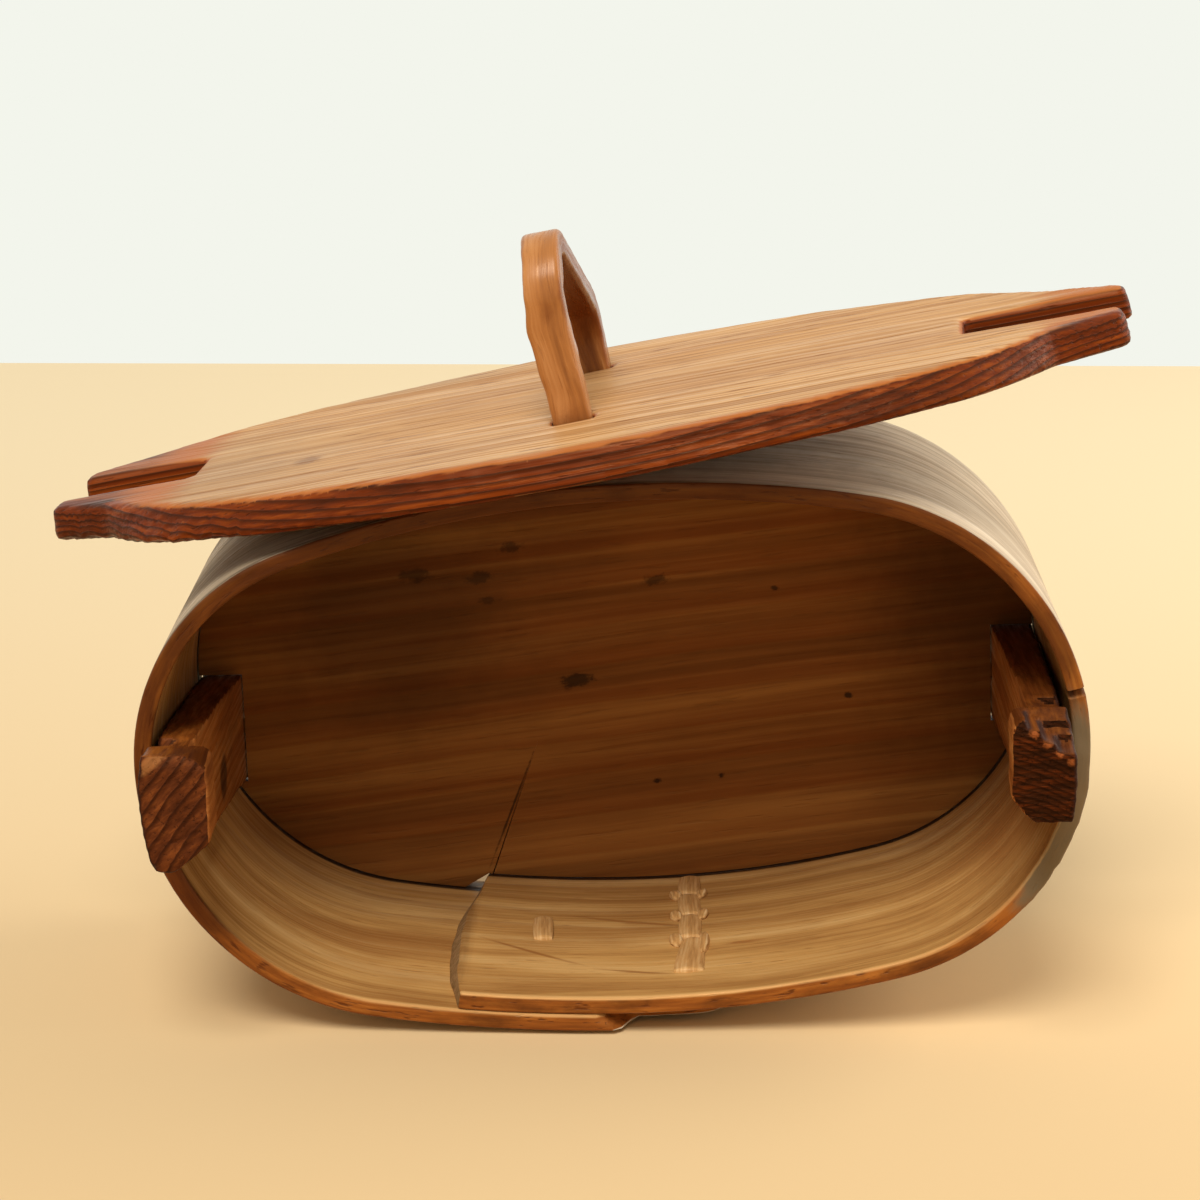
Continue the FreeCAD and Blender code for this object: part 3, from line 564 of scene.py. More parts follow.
    def build(self) -> bpy.types.Material:
        """Wire the whole material.

        Returns:
            The material.
        """
        wood, shader = self.wood, self.shader
        colour, rough, height = self.layer(wood)
        if self.worn:
            other_colour, other_rough, other_height = self.layer(self.worn)
            node = shader.node("ShaderNodeAttribute")
            node.attribute_name = WEAR_AND_SHADE
            along = shader.scaled(shader.grain_vector(Source.STORED, (0, 0, 0)), self.BORDER_SCALE)
            wobble = shader.times(shader.minus(shader.noise(along, 4.0), 0.5), self.border)
            share = shader.spread(shader.plus(node.outputs["Fac"], wobble), *self.BORDER_SPAN)
            colour = shader.mixed(share, colour, other_colour)
            if self.seam:
                both = shader.times(shader.minus(1.0, share), share)
                colour = shader.mixed(shader.times(both, self.SEAM_GAIN), colour, tone(self.seam))
            rough = shader.blend(share, rough, other_rough)
            height = shader.blend(share, height, other_height)
        surface = shader.surface
        shader.link(colour, surface.inputs["Base Color"])
        shader.link(rough, surface.inputs["Roughness"])
        surface.inputs["Specular IOR Level"].default_value = wood.gloss
        surface.inputs["Specular Tint"].default_value = tone(wood.gloss_tone)
        if wood.coat:
            surface.inputs["Coat Weight"].default_value = wood.coat
            surface.inputs["Coat Roughness"].default_value = self.COAT_ROUGH
        bump = shader.node("ShaderNodeBump")
        bump.inputs["Strength"].default_value = wood.bump
        bump.inputs["Distance"].default_value = wood.relief * MM
        shader.link(height, bump.inputs["Height"])
        shader.link(bump.outputs["Normal"], surface.inputs["Normal"])
        return shader.material


def wood_material(wood: Wood, worn: Optional[Wood] = None, border: float = 0.5,
                  seam: Optional[str] = None) -> bpy.types.Material:
    """Material of one wood finish, or of two that meet by a stored share of wear and painted shade.

    Args:
        wood: The main finish.
        worn: The second finish, brought in by the stored share of wear and painted shade, if any.
        border: How ragged the border between both is.
        seam: Colour that shows where both finishes meet, if any.

    Returns:
        The material.
    """
    return WoodMaker(wood, worn, border, seam).build()


class Hand:
    """The modelling moves that every piece shares."""

    @staticmethod
    def clear() -> None:
        """Leave nothing selected and no mesh open."""
        if bpy.context.mode != "OBJECT":
            bpy.ops.object.mode_set(mode="OBJECT")
        bpy.ops.object.select_all(action="DESELECT")

    @staticmethod
    def only(obj: bpy.types.Object) -> None:
        """Select one object and make it active.

        Args:
            obj: The object.
        """
        Hand.clear()
        obj.select_set(True)
        bpy.context.view_layer.objects.active = obj

    @staticmethod
    def edit(obj: bpy.types.Object, mode: str = "FACE") -> None:
        """Open an object's mesh with nothing selected.

        Args:
            obj: The object.
            mode: What is selected in it: "VERT", "EDGE" or "FACE".
        """
        Hand.only(obj)
        bpy.ops.object.mode_set(mode="EDIT")
        bpy.ops.mesh.select_mode(type=mode)
        bpy.ops.mesh.select_all(action="DESELECT")

    @staticmethod
    def close() -> None:
        """Close the open mesh."""
        bpy.ops.object.mode_set(mode="OBJECT")

    @staticmethod
    def block(name: str, low: Point, high: Point, cuts: tuple[int, int, int]) -> bpy.types.Object:
        """A block between two corners, cut across into even slices each way.

        Args:
            name: Name of the object.
            low: Lowest corner in metres.
            high: Highest corner in metres.
            cuts: Number of slices along each direction.

        Returns:
            The new object.
        """
        Hand.clear()
        middle = [(a + b) / 2 for a, b in zip(low, high)]
        bpy.ops.mesh.primitive_cube_add(size=1, location=middle)
        obj = bpy.context.object
        obj.name = name
        obj.data.name = name
        bpy.ops.object.mode_set(mode="EDIT")
        bpy.ops.mesh.select_all(action="SELECT")
        spans = [b - a for a, b in zip(low, high)]
        bpy.ops.transform.resize(value=spans)
        bpy.ops.object.mode_set(mode="OBJECT")
        bpy.ops.object.transform_apply(location=True, rotation=True, scale=True)
        bpy.ops.object.mode_set(mode="EDIT")
        for axis, count in enumerate(cuts):
            normal = [0.0, 0.0, 0.0]
            normal[axis] = 1.0
            for step in range(1, count):
                place = list(middle)
                place[axis] = low[axis] + spans[axis] * step / count
                bpy.ops.mesh.select_all(action="SELECT")
                bpy.ops.mesh.bisect(plane_co=place, plane_no=normal)
        bpy.ops.object.mode_set(mode="OBJECT")
        return obj

    @staticmethod
    def finish(obj: bpy.types.Object, kind: str, **settings: object) -> None:
        """Add a modifier with its settings and apply it.

        Args:
            obj: The object.
            kind: Kind of the modifier.
            settings: Its settings by name.
        """
        Hand.only(obj)
        modifier = obj.modifiers.new(kind.title(), kind)
        for key, value in settings.items():
            setattr(modifier, key, value)
        bpy.ops.object.modifier_apply(modifier=modifier.name)

    @staticmethod
    def ease(obj: bpy.types.Object, width: float, steps: int, angle: float) -> None:
        """Round the edges of a piece that are sharper than an angle.

        Args:
            obj: The piece.
            width: Width of the rounding, in the mesh's own units.
            steps: Number of faces across the rounding.
            angle: The angle in degrees.
        """
        Hand.finish(obj, "BEVEL", width=width, segments=steps, limit_method="ANGLE",
                    angle_limit=math.radians(angle), use_clamp_overlap=True)

    @staticmethod
    def merged_copy(node: bpy.types.Object, name: str) -> bpy.types.Object:
        """Copy of a node's solid with its loose triangles joined and its flats cleared.

        Args:
            node: Node to copy.
            name: Name of the copy.

        Returns:
            The copy.
        """
        copy = bpy.data.objects.new(name, node.data.copy())
        copy.data.name = name
        bpy.context.scene.collection.objects.link(copy)
        copy.data.materials.clear()
        Hand.edit(copy, "VERT")
        bpy.ops.mesh.select_all(action="SELECT")
        bpy.ops.mesh.remove_doubles(threshold=0.000005)
        bpy.ops.mesh.dissolve_limited(angle_limit=math.radians(1.0))
        Hand.close()
        return copy

    @staticmethod
    def shade(obj: bpy.types.Object, angle: float) -> None:
        """Shade smooth except over edges that are sharper than an angle in degrees."""
        Hand.only(obj)
        bpy.ops.object.shade_smooth_by_angle(angle=math.radians(angle))

    @staticmethod
    def tidy_normals(obj: bpy.types.Object) -> None:
        """Turn all faces outwards.

        Args:
            obj: The piece, whose faces form closed shells.
        """
        Hand.edit(obj)
        bpy.ops.mesh.select_all(action="SELECT")
        bpy.ops.mesh.normals_make_consistent(inside=False)
        Hand.close()

    @staticmethod
    def move_points(obj: bpy.types.Object, rule: Callable[[Vector], Vector]) -> None:
        """Move every point of a mesh by a rule.

        Args:
            obj: The piece.
            rule: Gives a point's new place from its old one.
        """
        for vertex in obj.data.vertices:
            vertex.co = rule(vertex.co.copy())
        obj.data.update()

    @staticmethod
    def store_grain(obj: bpy.types.Object, rule: Callable[[Vector], Vector]) -> None:
        """Store at every point its place along, across and through the grain.

        Args:
            obj: The piece.
            rule: Gives a point's grain place from its place in the mesh.
        """
        layer = obj.data.attributes.get(GRAIN) or obj.data.attributes.new(GRAIN, "FLOAT_VECTOR", "POINT")
        for vertex in obj.data.vertices:
            layer.data[vertex.index].vector = rule(vertex.co)

    @staticmethod
    def remesh(obj: bpy.types.Object, voxel: float, rounds: int) -> None:
        """Give a piece an even skin of small faces and soften its edges.

        Args:
            obj: The piece.
            voxel: Size of the small faces, in the mesh's own units.
            rounds: How often the skin is smoothed.
        """
        Hand.finish(obj, "REMESH", mode="VOXEL", voxel_size=voxel)
        Hand.finish(obj, "SMOOTH", factor=0.5, iterations=rounds)

    @staticmethod
    def store_wear_and_shade(obj: bpy.types.Object, rule: Callable[[Vector, Vector], float]) -> None:
        """Store at every point its share of wear and of painted shade.

        Args:
            obj: The piece.
            rule: Gives a point's share, from 0 to 1, from its place and its normal.
        """
        layer = obj.data.attributes.get(WEAR_AND_SHADE) or obj.data.attributes.new(WEAR_AND_SHADE, "FLOAT", "POINT")
        for vertex in obj.data.vertices:
            layer.data[vertex.index].value = rule(vertex.co, vertex.normal)

    @staticmethod
    def dress(obj: bpy.types.Object, materials: Sequence[bpy.types.Material],
              choose: Optional[Callable[[bpy.types.MeshPolygon], int]] = None) -> None:
        """Give a piece its materials, and each face its own one.

        Args:
            obj: The piece.
            materials: Its materials in order.
            choose: Gives a face's number in that order.
        """
        obj.data.materials.clear()
        for material in materials:
            obj.data.materials.append(material)
        if choose:
            for face in obj.data.polygons:
                face.material_index = choose(face)

    @staticmethod
    def join(pieces: Sequence[bpy.types.Object], name: str) -> bpy.types.Object:
        """Join several objects into one.

        Args:
            pieces: The objects.
            name: Name of the joined object.

        Returns:
            The joined object.
        """
        Hand.clear()
        for piece in pieces:
            piece.select_set(True)
        bpy.context.view_layer.objects.active = pieces[0]
        if len(pieces) > 1:
            bpy.ops.object.join()
        joined = bpy.context.object
        joined.name = name
        joined.data.name = name
        return joined


@dataclass(frozen=True)
class Bend:
    """One stretch of a bent path: an arc in a plane, by its centre, radius and two angles in degrees."""

    x: float
    z: float
    radius: float
    start: float
    end: float

    @property
    def length(self) -> float:
        """Length along the arc."""
        return abs(math.radians(self.end - self.start)) * self.radius

    def place(self, run: float, offset: float) -> tuple[float, float]:
        """Point a way along the arc, pushed outwards.

        Args:
            run: Way from its start.
            offset: Distance to its outer side.

        Returns:
            Both coordinates of the point.
        """
        way = 1 if self.end > self.start else -1
        angle = math.radians(self.start) + way * run / self.radius
        reach = self.radius + offset * way
        return self.x + reach * math.cos(angle), self.z + reach * math.sin(angle)


@dataclass(frozen=True)
class Straight:
    """One straight stretch of a bent path between two points."""

    x: float
    z: float
    to_x: float
    to_z: float

    @property
    def length(self) -> float:
        """Length of the stretch."""
        return math.hypot(self.to_x - self.x, self.to_z - self.z)

    def place(self, run: float, offset: float) -> tuple[float, float]:
        """Point a way along the stretch, pushed outwards.

        Args:
            run: Way from its start.
            offset: Distance to its outer side.

        Returns:
            Both coordinates of the point.
        """
        along = ((self.to_x - self.x) / self.length, (self.to_z - self.z) / self.length)
        return self.x + along[0] * run + along[1] * offset, self.z + along[1] * run - along[0] * offset


@dataclass(frozen=True)
class Path:
    """A chain of bent and straight stretches."""

    stretches: tuple[object, ...]

    @property
    def length(self) -> float:
        """Length of the whole chain."""
        return sum(stretch.length for stretch in self.stretches)

    def place(self, run: float, offset: float) -> tuple[float, float]:
        """Point a way along the chain, pushed outwards.

        Args:
            run: Way from its start.
            offset: Distance to its outer side.

        Returns:
            Both coordinates of the point.
        """
        rest = run
        for stretch in self.stretches[:-1]:
            if rest <= stretch.length:
                return stretch.place(rest, offset)
            rest -= stretch.length
        return self.stretches[-1].place(rest, offset)


@dataclass(frozen=True)
class BoxFrame:
    """Where the box lies: its middle at the rim, and the roll of its oval."""

    middle: Vector
    turn: Matrix

    @staticmethod
    def read(frame: dict) -> "BoxFrame":
        """Take the box's place from the base's mount and its roll from a post's hinge.

        Args:
            frame: What the frame's loader gave.

        Returns:
            The box's frame.
        """
        face = Vector(frame["record"]["mounts"][0]["pos_m"])
        hinge = next(j for j in frame["joints"] if j["name"] == "post_right_flex")
        up = Vector(hinge["axis"]).normalized()
        depth = Vector((0, 1, 0))
        along = depth.cross(up)
        turn = Matrix((along, depth, up)).transposed()
        return BoxFrame(face - depth * BandSizes.DEPTH * MM, turn)

    def out(self, point: Vector) -> Vector:
        """Place in the scene of a point in the box's own directions, in metres."""
        return self.middle + self.turn @ point

    def back(self, point: Vector) -> Vector:
        """Place in the box's own directions of a point in the scene."""
        return self.turn.transposed() @ (point - self.middle)


@dataclass(frozen=True)
class BandSizes:
    """Driving sizes of the bent band, in millimetres."""

    LENGTH: float = 260.0
    TOP: float = 74.0
    BOTTOM: float = 72.0
    TOP_CROWN: float = 13.0
    BOTTOM_CROWN: float = 3.0
    UPPER_LEFT: float = 60.0
    UPPER_RIGHT: float = 70.0
    LOWER_LEFT: float = 72.0
    LOWER_RIGHT: float = 65.0
    WALL: float = 5.0
    DEPTH: float = 115.0
    BASE: float = 8.5
    LAP_GAP: float = 0.15
    TAIL: float = 50.5
    TAIL_AT_RIM: float = 45.6
    TAIL_AT_BASE: float = 41.0
    TIP: float = -5.0
    TONGUE: float = 34.0
    SHOULDER: float = 11.0
    SHOULDER_RUN: float = 9.0


@dataclass
class Band:
    """The side: one strip, its ends shaped flat, then bent round and lapped."""

    place: BoxFrame
    ring: float = 2.4
    rows: int = 48
    wall_rows: int = 3
    ease: float = 0.8
    tail_peak: float = 0.4
    tail_waver: float = 0.7
    tail_bevel: float = 3.0
    tail_reach: float = 30.0
    tip_reach: float = 6.0
    tip_slant: float = 1.1
    tongue_round: float = 11.0
    tongue_narrow: float = 10.0
    face_waver: float = 0.35
    face_ripple: float = 0.12
    rim_depth: float = 3.5
    edge_wear: float = 0.45
    crack: float = 233.0
    crack_lean: float = 0.12
    crack_half: float = 1.3
    crack_mouth: float = 8.0
    crack_depth: float = 12.0
    crack_cuts: tuple[float, ...] = (-2.0, -1.3, -0.8, -0.4, 0.0, 0.4, 0.8, 1.3, 2.0)
    broken_rim: Plateau = ((168.0, 178.0), (230.0, 233.0))
    flaked_face: Plateau = ((166.0, 178.0), (204.0, 214.0))
    shaded_rim: Plateau = ((180.0, 250.0), (590.0, 640.0))
    greyed_face: Plateau = ((300.0, 420.0), (560.0, 640.0))
    worn_plate: Plateau = ((168.0, 176.0), (228.0, 236.0))
    margin: float = 0.5
    bevel_run: float = 11.0
    path: Path = field(init=False)

    def __post_init__(self) -> None:
        """Work out the strip's path."""
        self.path = Path(self.stretches())

    def stretches(self) -> tuple[Bend, ...]:
        """Arcs of the strip's inner face.

        Returns:
            The arcs, from the strip's inner end round to its outer end.
        """
        s = BandSizes
        half = s.LENGTH / 2
        outer = s.BOTTOM + s.WALL + s.LAP_GAP

        def side(along: float, across: float, corner: float) -> tuple[float, float]:
            """Radius of the long arc that runs into a corner's arc, and the angle where they meet.

            Args:
                along: Half length of the oval from the long arc's crown.
                across: Half height of the oval.
                corner: Radius of the corner's arc.

            Returns:
                The radius and the angle in degrees.
            """
            radius = ((along - corner) ** 2 + across**2 - corner**2) / (2 * (across - corner))
            return radius, math.degrees(math.atan2(radius - across, along - corner))

        r_lr, a_lr = side(half - s.BOTTOM_CROWN, s.BOTTOM, s.LOWER_RIGHT)
        r_ur, a_ur = side(half - s.TOP_CROWN, s.TOP, s.UPPER_RIGHT)
        r_ul, a_ul = side(half + s.TOP_CROWN, s.TOP, s.UPPER_LEFT)
        r_ll, a_ll = side(half + s.BOTTOM_CROWN, outer, s.LOWER_LEFT)
        tail_radius = r_ll - s.LAP_GAP - s.WALL
        tail_start = 270 - math.degrees(math.asin((s.TAIL + s.BOTTOM_CROWN) / tail_radius))
        tongue_radius = r_lr + s.WALL + s.LAP_GAP
        tongue_end = 270 + math.degrees(math.asin((s.TONGUE - s.BOTTOM_CROWN) / tongue_radius))
        return (
            Bend(s.BOTTOM_CROWN, r_ll - outer, tail_radius, tail_start, 270),
            Bend(s.BOTTOM_CROWN, r_lr - s.BOTTOM, r_lr, 270, 360 - a_lr),
            Bend(half - s.LOWER_RIGHT, 0, s.LOWER_RIGHT, -a_lr, 0),
            Bend(half - s.UPPER_RIGHT, 0, s.UPPER_RIGHT, 0, a_ur),
            Bend(s.TOP_CROWN, s.TOP - r_ur, r_ur, a_ur, 90),
            Bend(s.TOP_CROWN, s.TOP - r_ul, r_ul, 90, 180 - a_ul),
            Bend(s.UPPER_LEFT - half, 0, s.UPPER_LEFT, 180 - a_ul, 180),
            Bend(s.LOWER_LEFT - half, 0, s.LOWER_LEFT, 180, 180 + a_ll),
            Bend(s.BOTTOM_CROWN, r_ll - outer, r_ll, 180 + a_ll, 270),
            Bend(s.BOTTOM_CROWN, r_lr - s.BOTTOM, tongue_radius, 270, tongue_end),
        )

    def shape_tail(self, point: Vector) -> Vector:
        """Round the inner end's outline and bevel it towards the box.

        Args:
            point: A point of the flat strip, in millimetres.

        Returns:
            The shaped point.
        """
        s = BandSizes
        y = point.y / s.DEPTH
        peak = self.tail_peak
        if y < peak:
            inset = (s.TAIL - s.TAIL_AT_RIM) * (1 - y / peak) ** 2
        else:
            inset = (s.TAIL - s.TAIL_AT_BASE) * ((y - peak) / (1 - peak)) ** 2
        inset += self.tail_waver * waver(y * 9.0, 3.3, 0.0)
        through = point.z / s.WALL
        taper = 0.12 + 0.88 * plateau(y, (0.0, 0.3), (0.75, 1.0))
        inset += self.tail_bevel * (1 - through) ** 1.1 * taper
        share = 1 - min(point.x / self.tail_reach, 1.0)
        return Vector((point.x + inset * share, point.y, point.z))

    def shape_tongue(self, point: Vector) -> Vector:
        """Narrow the outer end to a tongue behind slanted tips.

        Args:
            point: A point of the flat strip, in millimetres.

        Returns:
            The shaped point.
        """
        s = BandSizes
        end = self.path.length
        tip = end - (s.TONGUE - s.TIP)
        if point.x < tip - self.tip_reach:
            return point
        middle = s.DEPTH / 2
        slant = point.z * self.tip_slant
        step = smooth(point.x, tip - 1.5 + slant, tip + s.SHOULDER_RUN * 0.55 + slant)
        round_end = max(0.0, (point.x - (end - self.tongue_round)) / self.tongue_round)
        half = middle - s.SHOULDER * step - self.tongue_narrow * round_end**2.2
        return Vector((point.x, middle + (point.y - middle) * half / middle, point.z))

    def wear(self, point: Vector) -> Vector:
        """Wear the strip's edges unevenly, break its rim and let its faces wave a little.

        Args:
            point: A point of the flat strip, in millimetres.

        Returns:
            The worn point.
        """
        wave = waver(point.x * 0.035, point.y * 0.02, 1.0) * self.face_waver
        fine = waver(point.x * 0.16, point.y * 0.05, 7.0) * self.face_ripple
        at_rim = 1 - smooth(point.y, 0.0, self.rim_depth)
        rim = waver(point.x * 0.05, 2.0, 0.0) * 0.5 + waver(point.x * 0.35, 5.0, 0.0) * 0.22
        y = point.y + max(-0.15, rim) * self.edge_wear * at_rim
        crack = max(0.0, 1 - abs(point.x - self.crack - self.crack_lean * point.y) / self.crack_half)
        y += self.crack_mouth * crack * (1 - smooth(point.y, 0.0, self.crack_depth))
        broken = plateau(point.x, *self.broken_rim) * at_rim
        y += broken * (1.1 + 0.9 * waver(point.x * 0.4, point.z * 0.3, 9.0))
        toward = (point.z / BandSizes.WALL - 0.5) * 2
        z = point.z - toward * at_rim * 0.25 * abs(fine) + (wave * 0.3 + fine * 0.4)
        patch = plateau(point.x, *self.flaked_face) * (1 - smooth(point.y, 6.0, 26.0))
        z += patch * max(toward, 0.0) * (0.7 + 0.5 * waver(point.x * 0.3, point.y * 0.3, 2.0))
        return Vector((point.x, y, z))

    def bend(self, point: Vector) -> Vector:
        """Place in the scene of a point of the flat strip."""
        x, z = self.path.place(point.x, point.z)
        return self.place.out(Vector((x * MM, point.y * MM, z * MM)))

    def build(self) -> bpy.types.Object:
        """Cut the strip flat, ease its edges, shape its ends and bend it.

        Returns:
            The finished band.
        """
        s = BandSizes
        length = self.path.length
        strip = Hand.block("bent_band", (0, 0, 0), (length * MM, s.DEPTH * MM, s.WALL * MM),
                           (round(length / self.ring), self.rows, self.wall_rows))
        Hand.edit(strip)
        for side in self.crack_cuts:
            bpy.ops.mesh.select_all(action="SELECT")
            bpy.ops.mesh.bisect(plane_co=((self.crack + side) * MM, 0, 0), plane_no=(1, -self.crack_lean, 0))
        Hand.close()
        Hand.ease(strip, self.ease * MM, 3, 40)
        Hand.move_points(strip, lambda p: p / MM)
        Hand.move_points(strip, self.shape_tail)
        Hand.move_points(strip, self.shape_tongue)
        Hand.store_grain(strip, lambda p: p * MM)
        Hand.store_wear_and_shade(strip, self.worn)
        flat = [face.center.copy() for face in strip.data.polygons]
        Hand.move_points(strip, self.wear)
        Hand.move_points(strip, self.bend)
        Hand.tidy_normals(strip)
        Hand.shade(strip, 50)
        self.dress(strip, flat)
        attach(strip, "box")
        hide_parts("band")
        return strip

    def worn(self, point: Vector, normal: Vector) -> float:
        """Share of the darker second finish at a place of the flat strip: painted shade and darkening inside, grey
        weathering outside.

        Args:
            point: A point of the flat strip, in millimetres.
            normal: Its normal, which plays no part here.

        Returns:
            The share, from 0 to 1.
        """
        along, across = point.x, point.y
        if point.z < BandSizes.WALL / 2:
            # Inside: painted shade along the rim where the lid overhangs it, and darker towards the base.
            rim = 0.75 * plateau(along, *self.shaded_rim) * (1 - smooth(across, 0.0, 5.0))
            return rim + 0.3 * smooth(across, 96.0, 108.0)
        grey = plateau(along, *self.greyed_face)
        plate = plateau(along, *self.worn_plate) * (1 - smooth(across, 10.0, 30.0))
        return min(1.0, 0.5 * (1 - smooth(across, 0.0, 6.0)) + 0.45 * grey + 0.8 * plate)

    def dress(self, strip: bpy.types.Object, flat: Sequence[Vector]) -> None:
        """Give the inside, the outside, the rims and the bevelled end their own woods.

        Args:
            strip: The bent band.
            flat: Middle of every face while the strip was flat.
        """
        rim_dark = Wood("rim_shade", "8a4a1c", "5c2a0c", "341404", band_scale=(9.0, 60.0, 200.0), contrast=0.25,
                        blotch=0.5, blotch_colour="2a1004", rough=0.5)
        inside = Wood("band_inside", "e2b878", "c39252", "8a5828", band_scale=(3.2, 62.0, 62.0),
                      fibre_share=0.3, contrast=0.3, warp=0.016, warp_scale=(7.0, 26.0, 26.0),
                      pores=0.45, blotch=0.35, blotch_colour="7a4318", rough=0.46, bump=0.45,
                      rings=Rings(7.5, (30.0, 60.0), "8a5526", 0.35, 0.35, 1.2, (2.6, 14.0, 14.0)),
                      # Painted shade: the marks at 260 and 190 darken the inner wall on the right side and upper
                      # right.
                      marks=(Mark((260.0, 50.0, 0.0), (70.0, 90.0, 9.0), "6a3614", 0.5, 0.8),
                             Mark((190.0, 60.0, 0.0), (62.0, 90.0, 9.0), "7a3f16", 0.6, 0.9),
                             Mark((380.0, 106.3, 0.0), (900.0, 2.8, 6.0), "140a04", 0.97, 0.5, 0.2),
                             Mark((24.0, 38.0, 0.0), (26.0, 1.3, 5.0), "8a5526", 0.75, 0.8, 0.25, 34.0),
                             Mark((56.0, 21.0, 0.0), (15.0, 1.2, 5.0), "8a5526", 0.75, 0.8, 0.25, 14.6),
                             Mark((56.0, 64.0, 0.0), (30.0, 1.6, 5.0), "8a5526", 0.7, 0.8, 0.25, 18.4),
                             Mark((88.0, 40.0, 0.0), (8.0, 1.8, 5.0), "8a4a1c", 0.6, 0.8),
                             # Painted highlight on a worn light edge, along the inner edge of the lower rim.
                             Mark((30.0, 0.0, 0.0), (160.0, 2.2, 2.0), "e0b070", 0.6, 0.6),
                             Mark((700.0, 0.0, 0.0), (90.0, 2.2, 2.0), "e0b070", 0.5, 0.6),
                             # Painted shade on the inner wall across the top, upper left and left.
                             Mark((480.0, 50.0, 0.0), (130.0, 90.0, 9.0), "5a2e12", 0.6, 0.8),
                             Mark((3.0, 60.0, 0.0), (5.0, 90.0, 7.0), "54301a", 0.5, 0.9)))
        outside = Wood("band_outside", "f0dfc4", "dcc6a6", "a5896b", band_scale=(3.0, 120.0, 120.0),
                       fibre_share=0.5, contrast=0.28, warp=0.006, pores=0.7, blotch=0.25,
                       blotch_colour="8a755e", rough=0.6, gloss=0.12, bump=0.8, relief=0.7,
                       rings=Rings(6.5, (40.0, 50.0), "8a6f55", 0.28, 0.4, 1.6, (2.2, 16.0, 16.0)),
                       marks=(Mark((350.0, 60.0, 5.0), (60.0, 70.0, 9.0), "5a4838", 0.5, 0.9, 0.9),))
        outside_grey = Wood("band_weathered", "b5a48e", "8c7a62", "4c3e30", band_scale=(14.0, 120.0, 120.0),
                            fibre_share=0.6, contrast=0.3, pores=0.9, blotch=0.5, blotch_colour="54483a",
                            rough=0.65, gloss=0.1, bump=0.9, relief=0.8)
        rim = Wood("band_rim", "b87330", "8f4f1c", "5a2a0c", band_scale=(9.0, 60.0, 200.0),
                   fibre_scale=(40.0, 300.0, 700.0), fibre_share=0.6, contrast=0.15, pores=0.9,
                   pore_scale=(160.0, 900.0, 900.0), blotch=0.65,
                   blotch_colour="3a1a08", blotch_scale=(60.0, 90.0, 140.0), rough=0.42, gloss=0.3, bump=0.9,
                   # Painted shade on the rim under the lid, across the top and down the left side.
                   marks=(Mark((405.0, 0.0, 2.5), (190.0, 14.0, 14.0), "3a1404", 0.8, 0.6),
                          Mark((575.0, 0.0, 2.5), (50.0, 12.0, 12.0), "4a1a06", 0.7, 0.8),
                          Mark((200.0, 0.0, 2.5), (36.0, 12.0, 12.0), "6f6048", 0.95, 0.4),
                          Mark((250.0, 0.0, 2.5), (16.0, 9.0, 9.0), "4a230c", 0.6, 0.6),
                          # Painted highlight on a worn light edge, along the inner edge of the lower rim.
                          Mark((60.0, 0.0, 0.0), (170.0, 5.0, 1.2), "d9a565", 0.75, 0.6, 0.7),
                          Mark((690.0, 0.0, 0.0), (90.0, 5.0, 1.1), "d9a565", 0.6, 0.6, 0.7)))
        bevel = Wood("band_end", "a07a54", "8a6b45", "5c4326", fibre_share=0.6, contrast=0.3, pores=0.7,
                     blotch=0.4, blotch_colour="5a3a20", rough=0.6)
        woods = (wood_material(inside, rim_dark, 0.6), wood_material(outside, outside_grey, 0.7),
                 wood_material(rim), wood_material(bevel))

        def choose(face: bpy.types.MeshPolygon) -> int:
            """Number of a face's wood: 0 inside, 1 outside, 2 rims, 3 the bevelled end.

            Args:
                face: The face.

            Returns:
                The number.
            """
            along, across, through = flat[face.index]
            if across < self.margin or across > BandSizes.DEPTH - self.margin:
                return 2
            if through > BandSizes.WALL - self.margin:
                return 1
            if through > self.margin and along < self.bevel_run:
                return 3
            return 0 if through < self.margin else 2

        Hand.dress(strip, woods, choose)


@dataclass(frozen=True)
class LidSizes:
    """Driving sizes of the lid and its bow, in millimetres and degrees."""

    TILT: float = 11.54
    PITCH: float = -1.02
    YAW: float = -4.2
    THICK: float = 10.2
    NEAR_LEFT: float = 157.3
    HALF_WIDTH: float = 84.0
    BOW_NEAR: float = 38.0
    BOW_FAR: float = 48.5
    BOW_HEIGHT: float = 52.2
    BOW_RADIUS: float = 18.0
    BOW_SLOPE: float = 26.0
    BOW_FAR_RADIUS: float = 20.0
    BOW_THICK: float = 8.6
    BOW_SHIFT: float = 1.0
    BOW_TURN: float = 1.2
    LEG_BELOW: float = 1.6


@dataclass(frozen=True)
class LidFrame:
    """Where the lid lies: the middle of its underside and its turn."""

    middle: Vector
    turn: Matrix

    @staticmethod
    def read(board: bpy.types.Object) -> "LidFrame":
        """Take the lid's turn from its sizes and its place from its solid.

        Args:
            board: The lid board's node.

        Returns:
            The lid's frame.
        """
        s = LidSizes
        turn = (Matrix.Rotation(math.radians(-s.TILT), 3, "Y") @ Matrix.Rotation(math.radians(s.PITCH), 3, "X")
                @ Matrix.Rotation(math.radians(s.YAW), 3, "Z"))
        local = [turn.transposed() @ v.co for v in board.data.vertices]
        low = [min(p[axis] for p in local) for axis in range(3)]
        high = [max(p[axis] for p in local) for axis in range(3)]
        centre = Vector((low[0] + s.NEAR_LEFT * MM, (low[1] + high[1]) / 2, low[2]))
        return LidFrame(turn @ centre, turn)

    def out(self, point: Vector) -> Vector:
        """Place in the scene of a point in the lid's own directions, in millimetres."""
        return self.middle + self.turn @ (point * MM)

    def back(self, point: Vector) -> Vector:
        """Place in the lid's own directions, in millimetres, of a point in the scene."""
        return self.turn.transposed() @ (point - self.middle) / MM


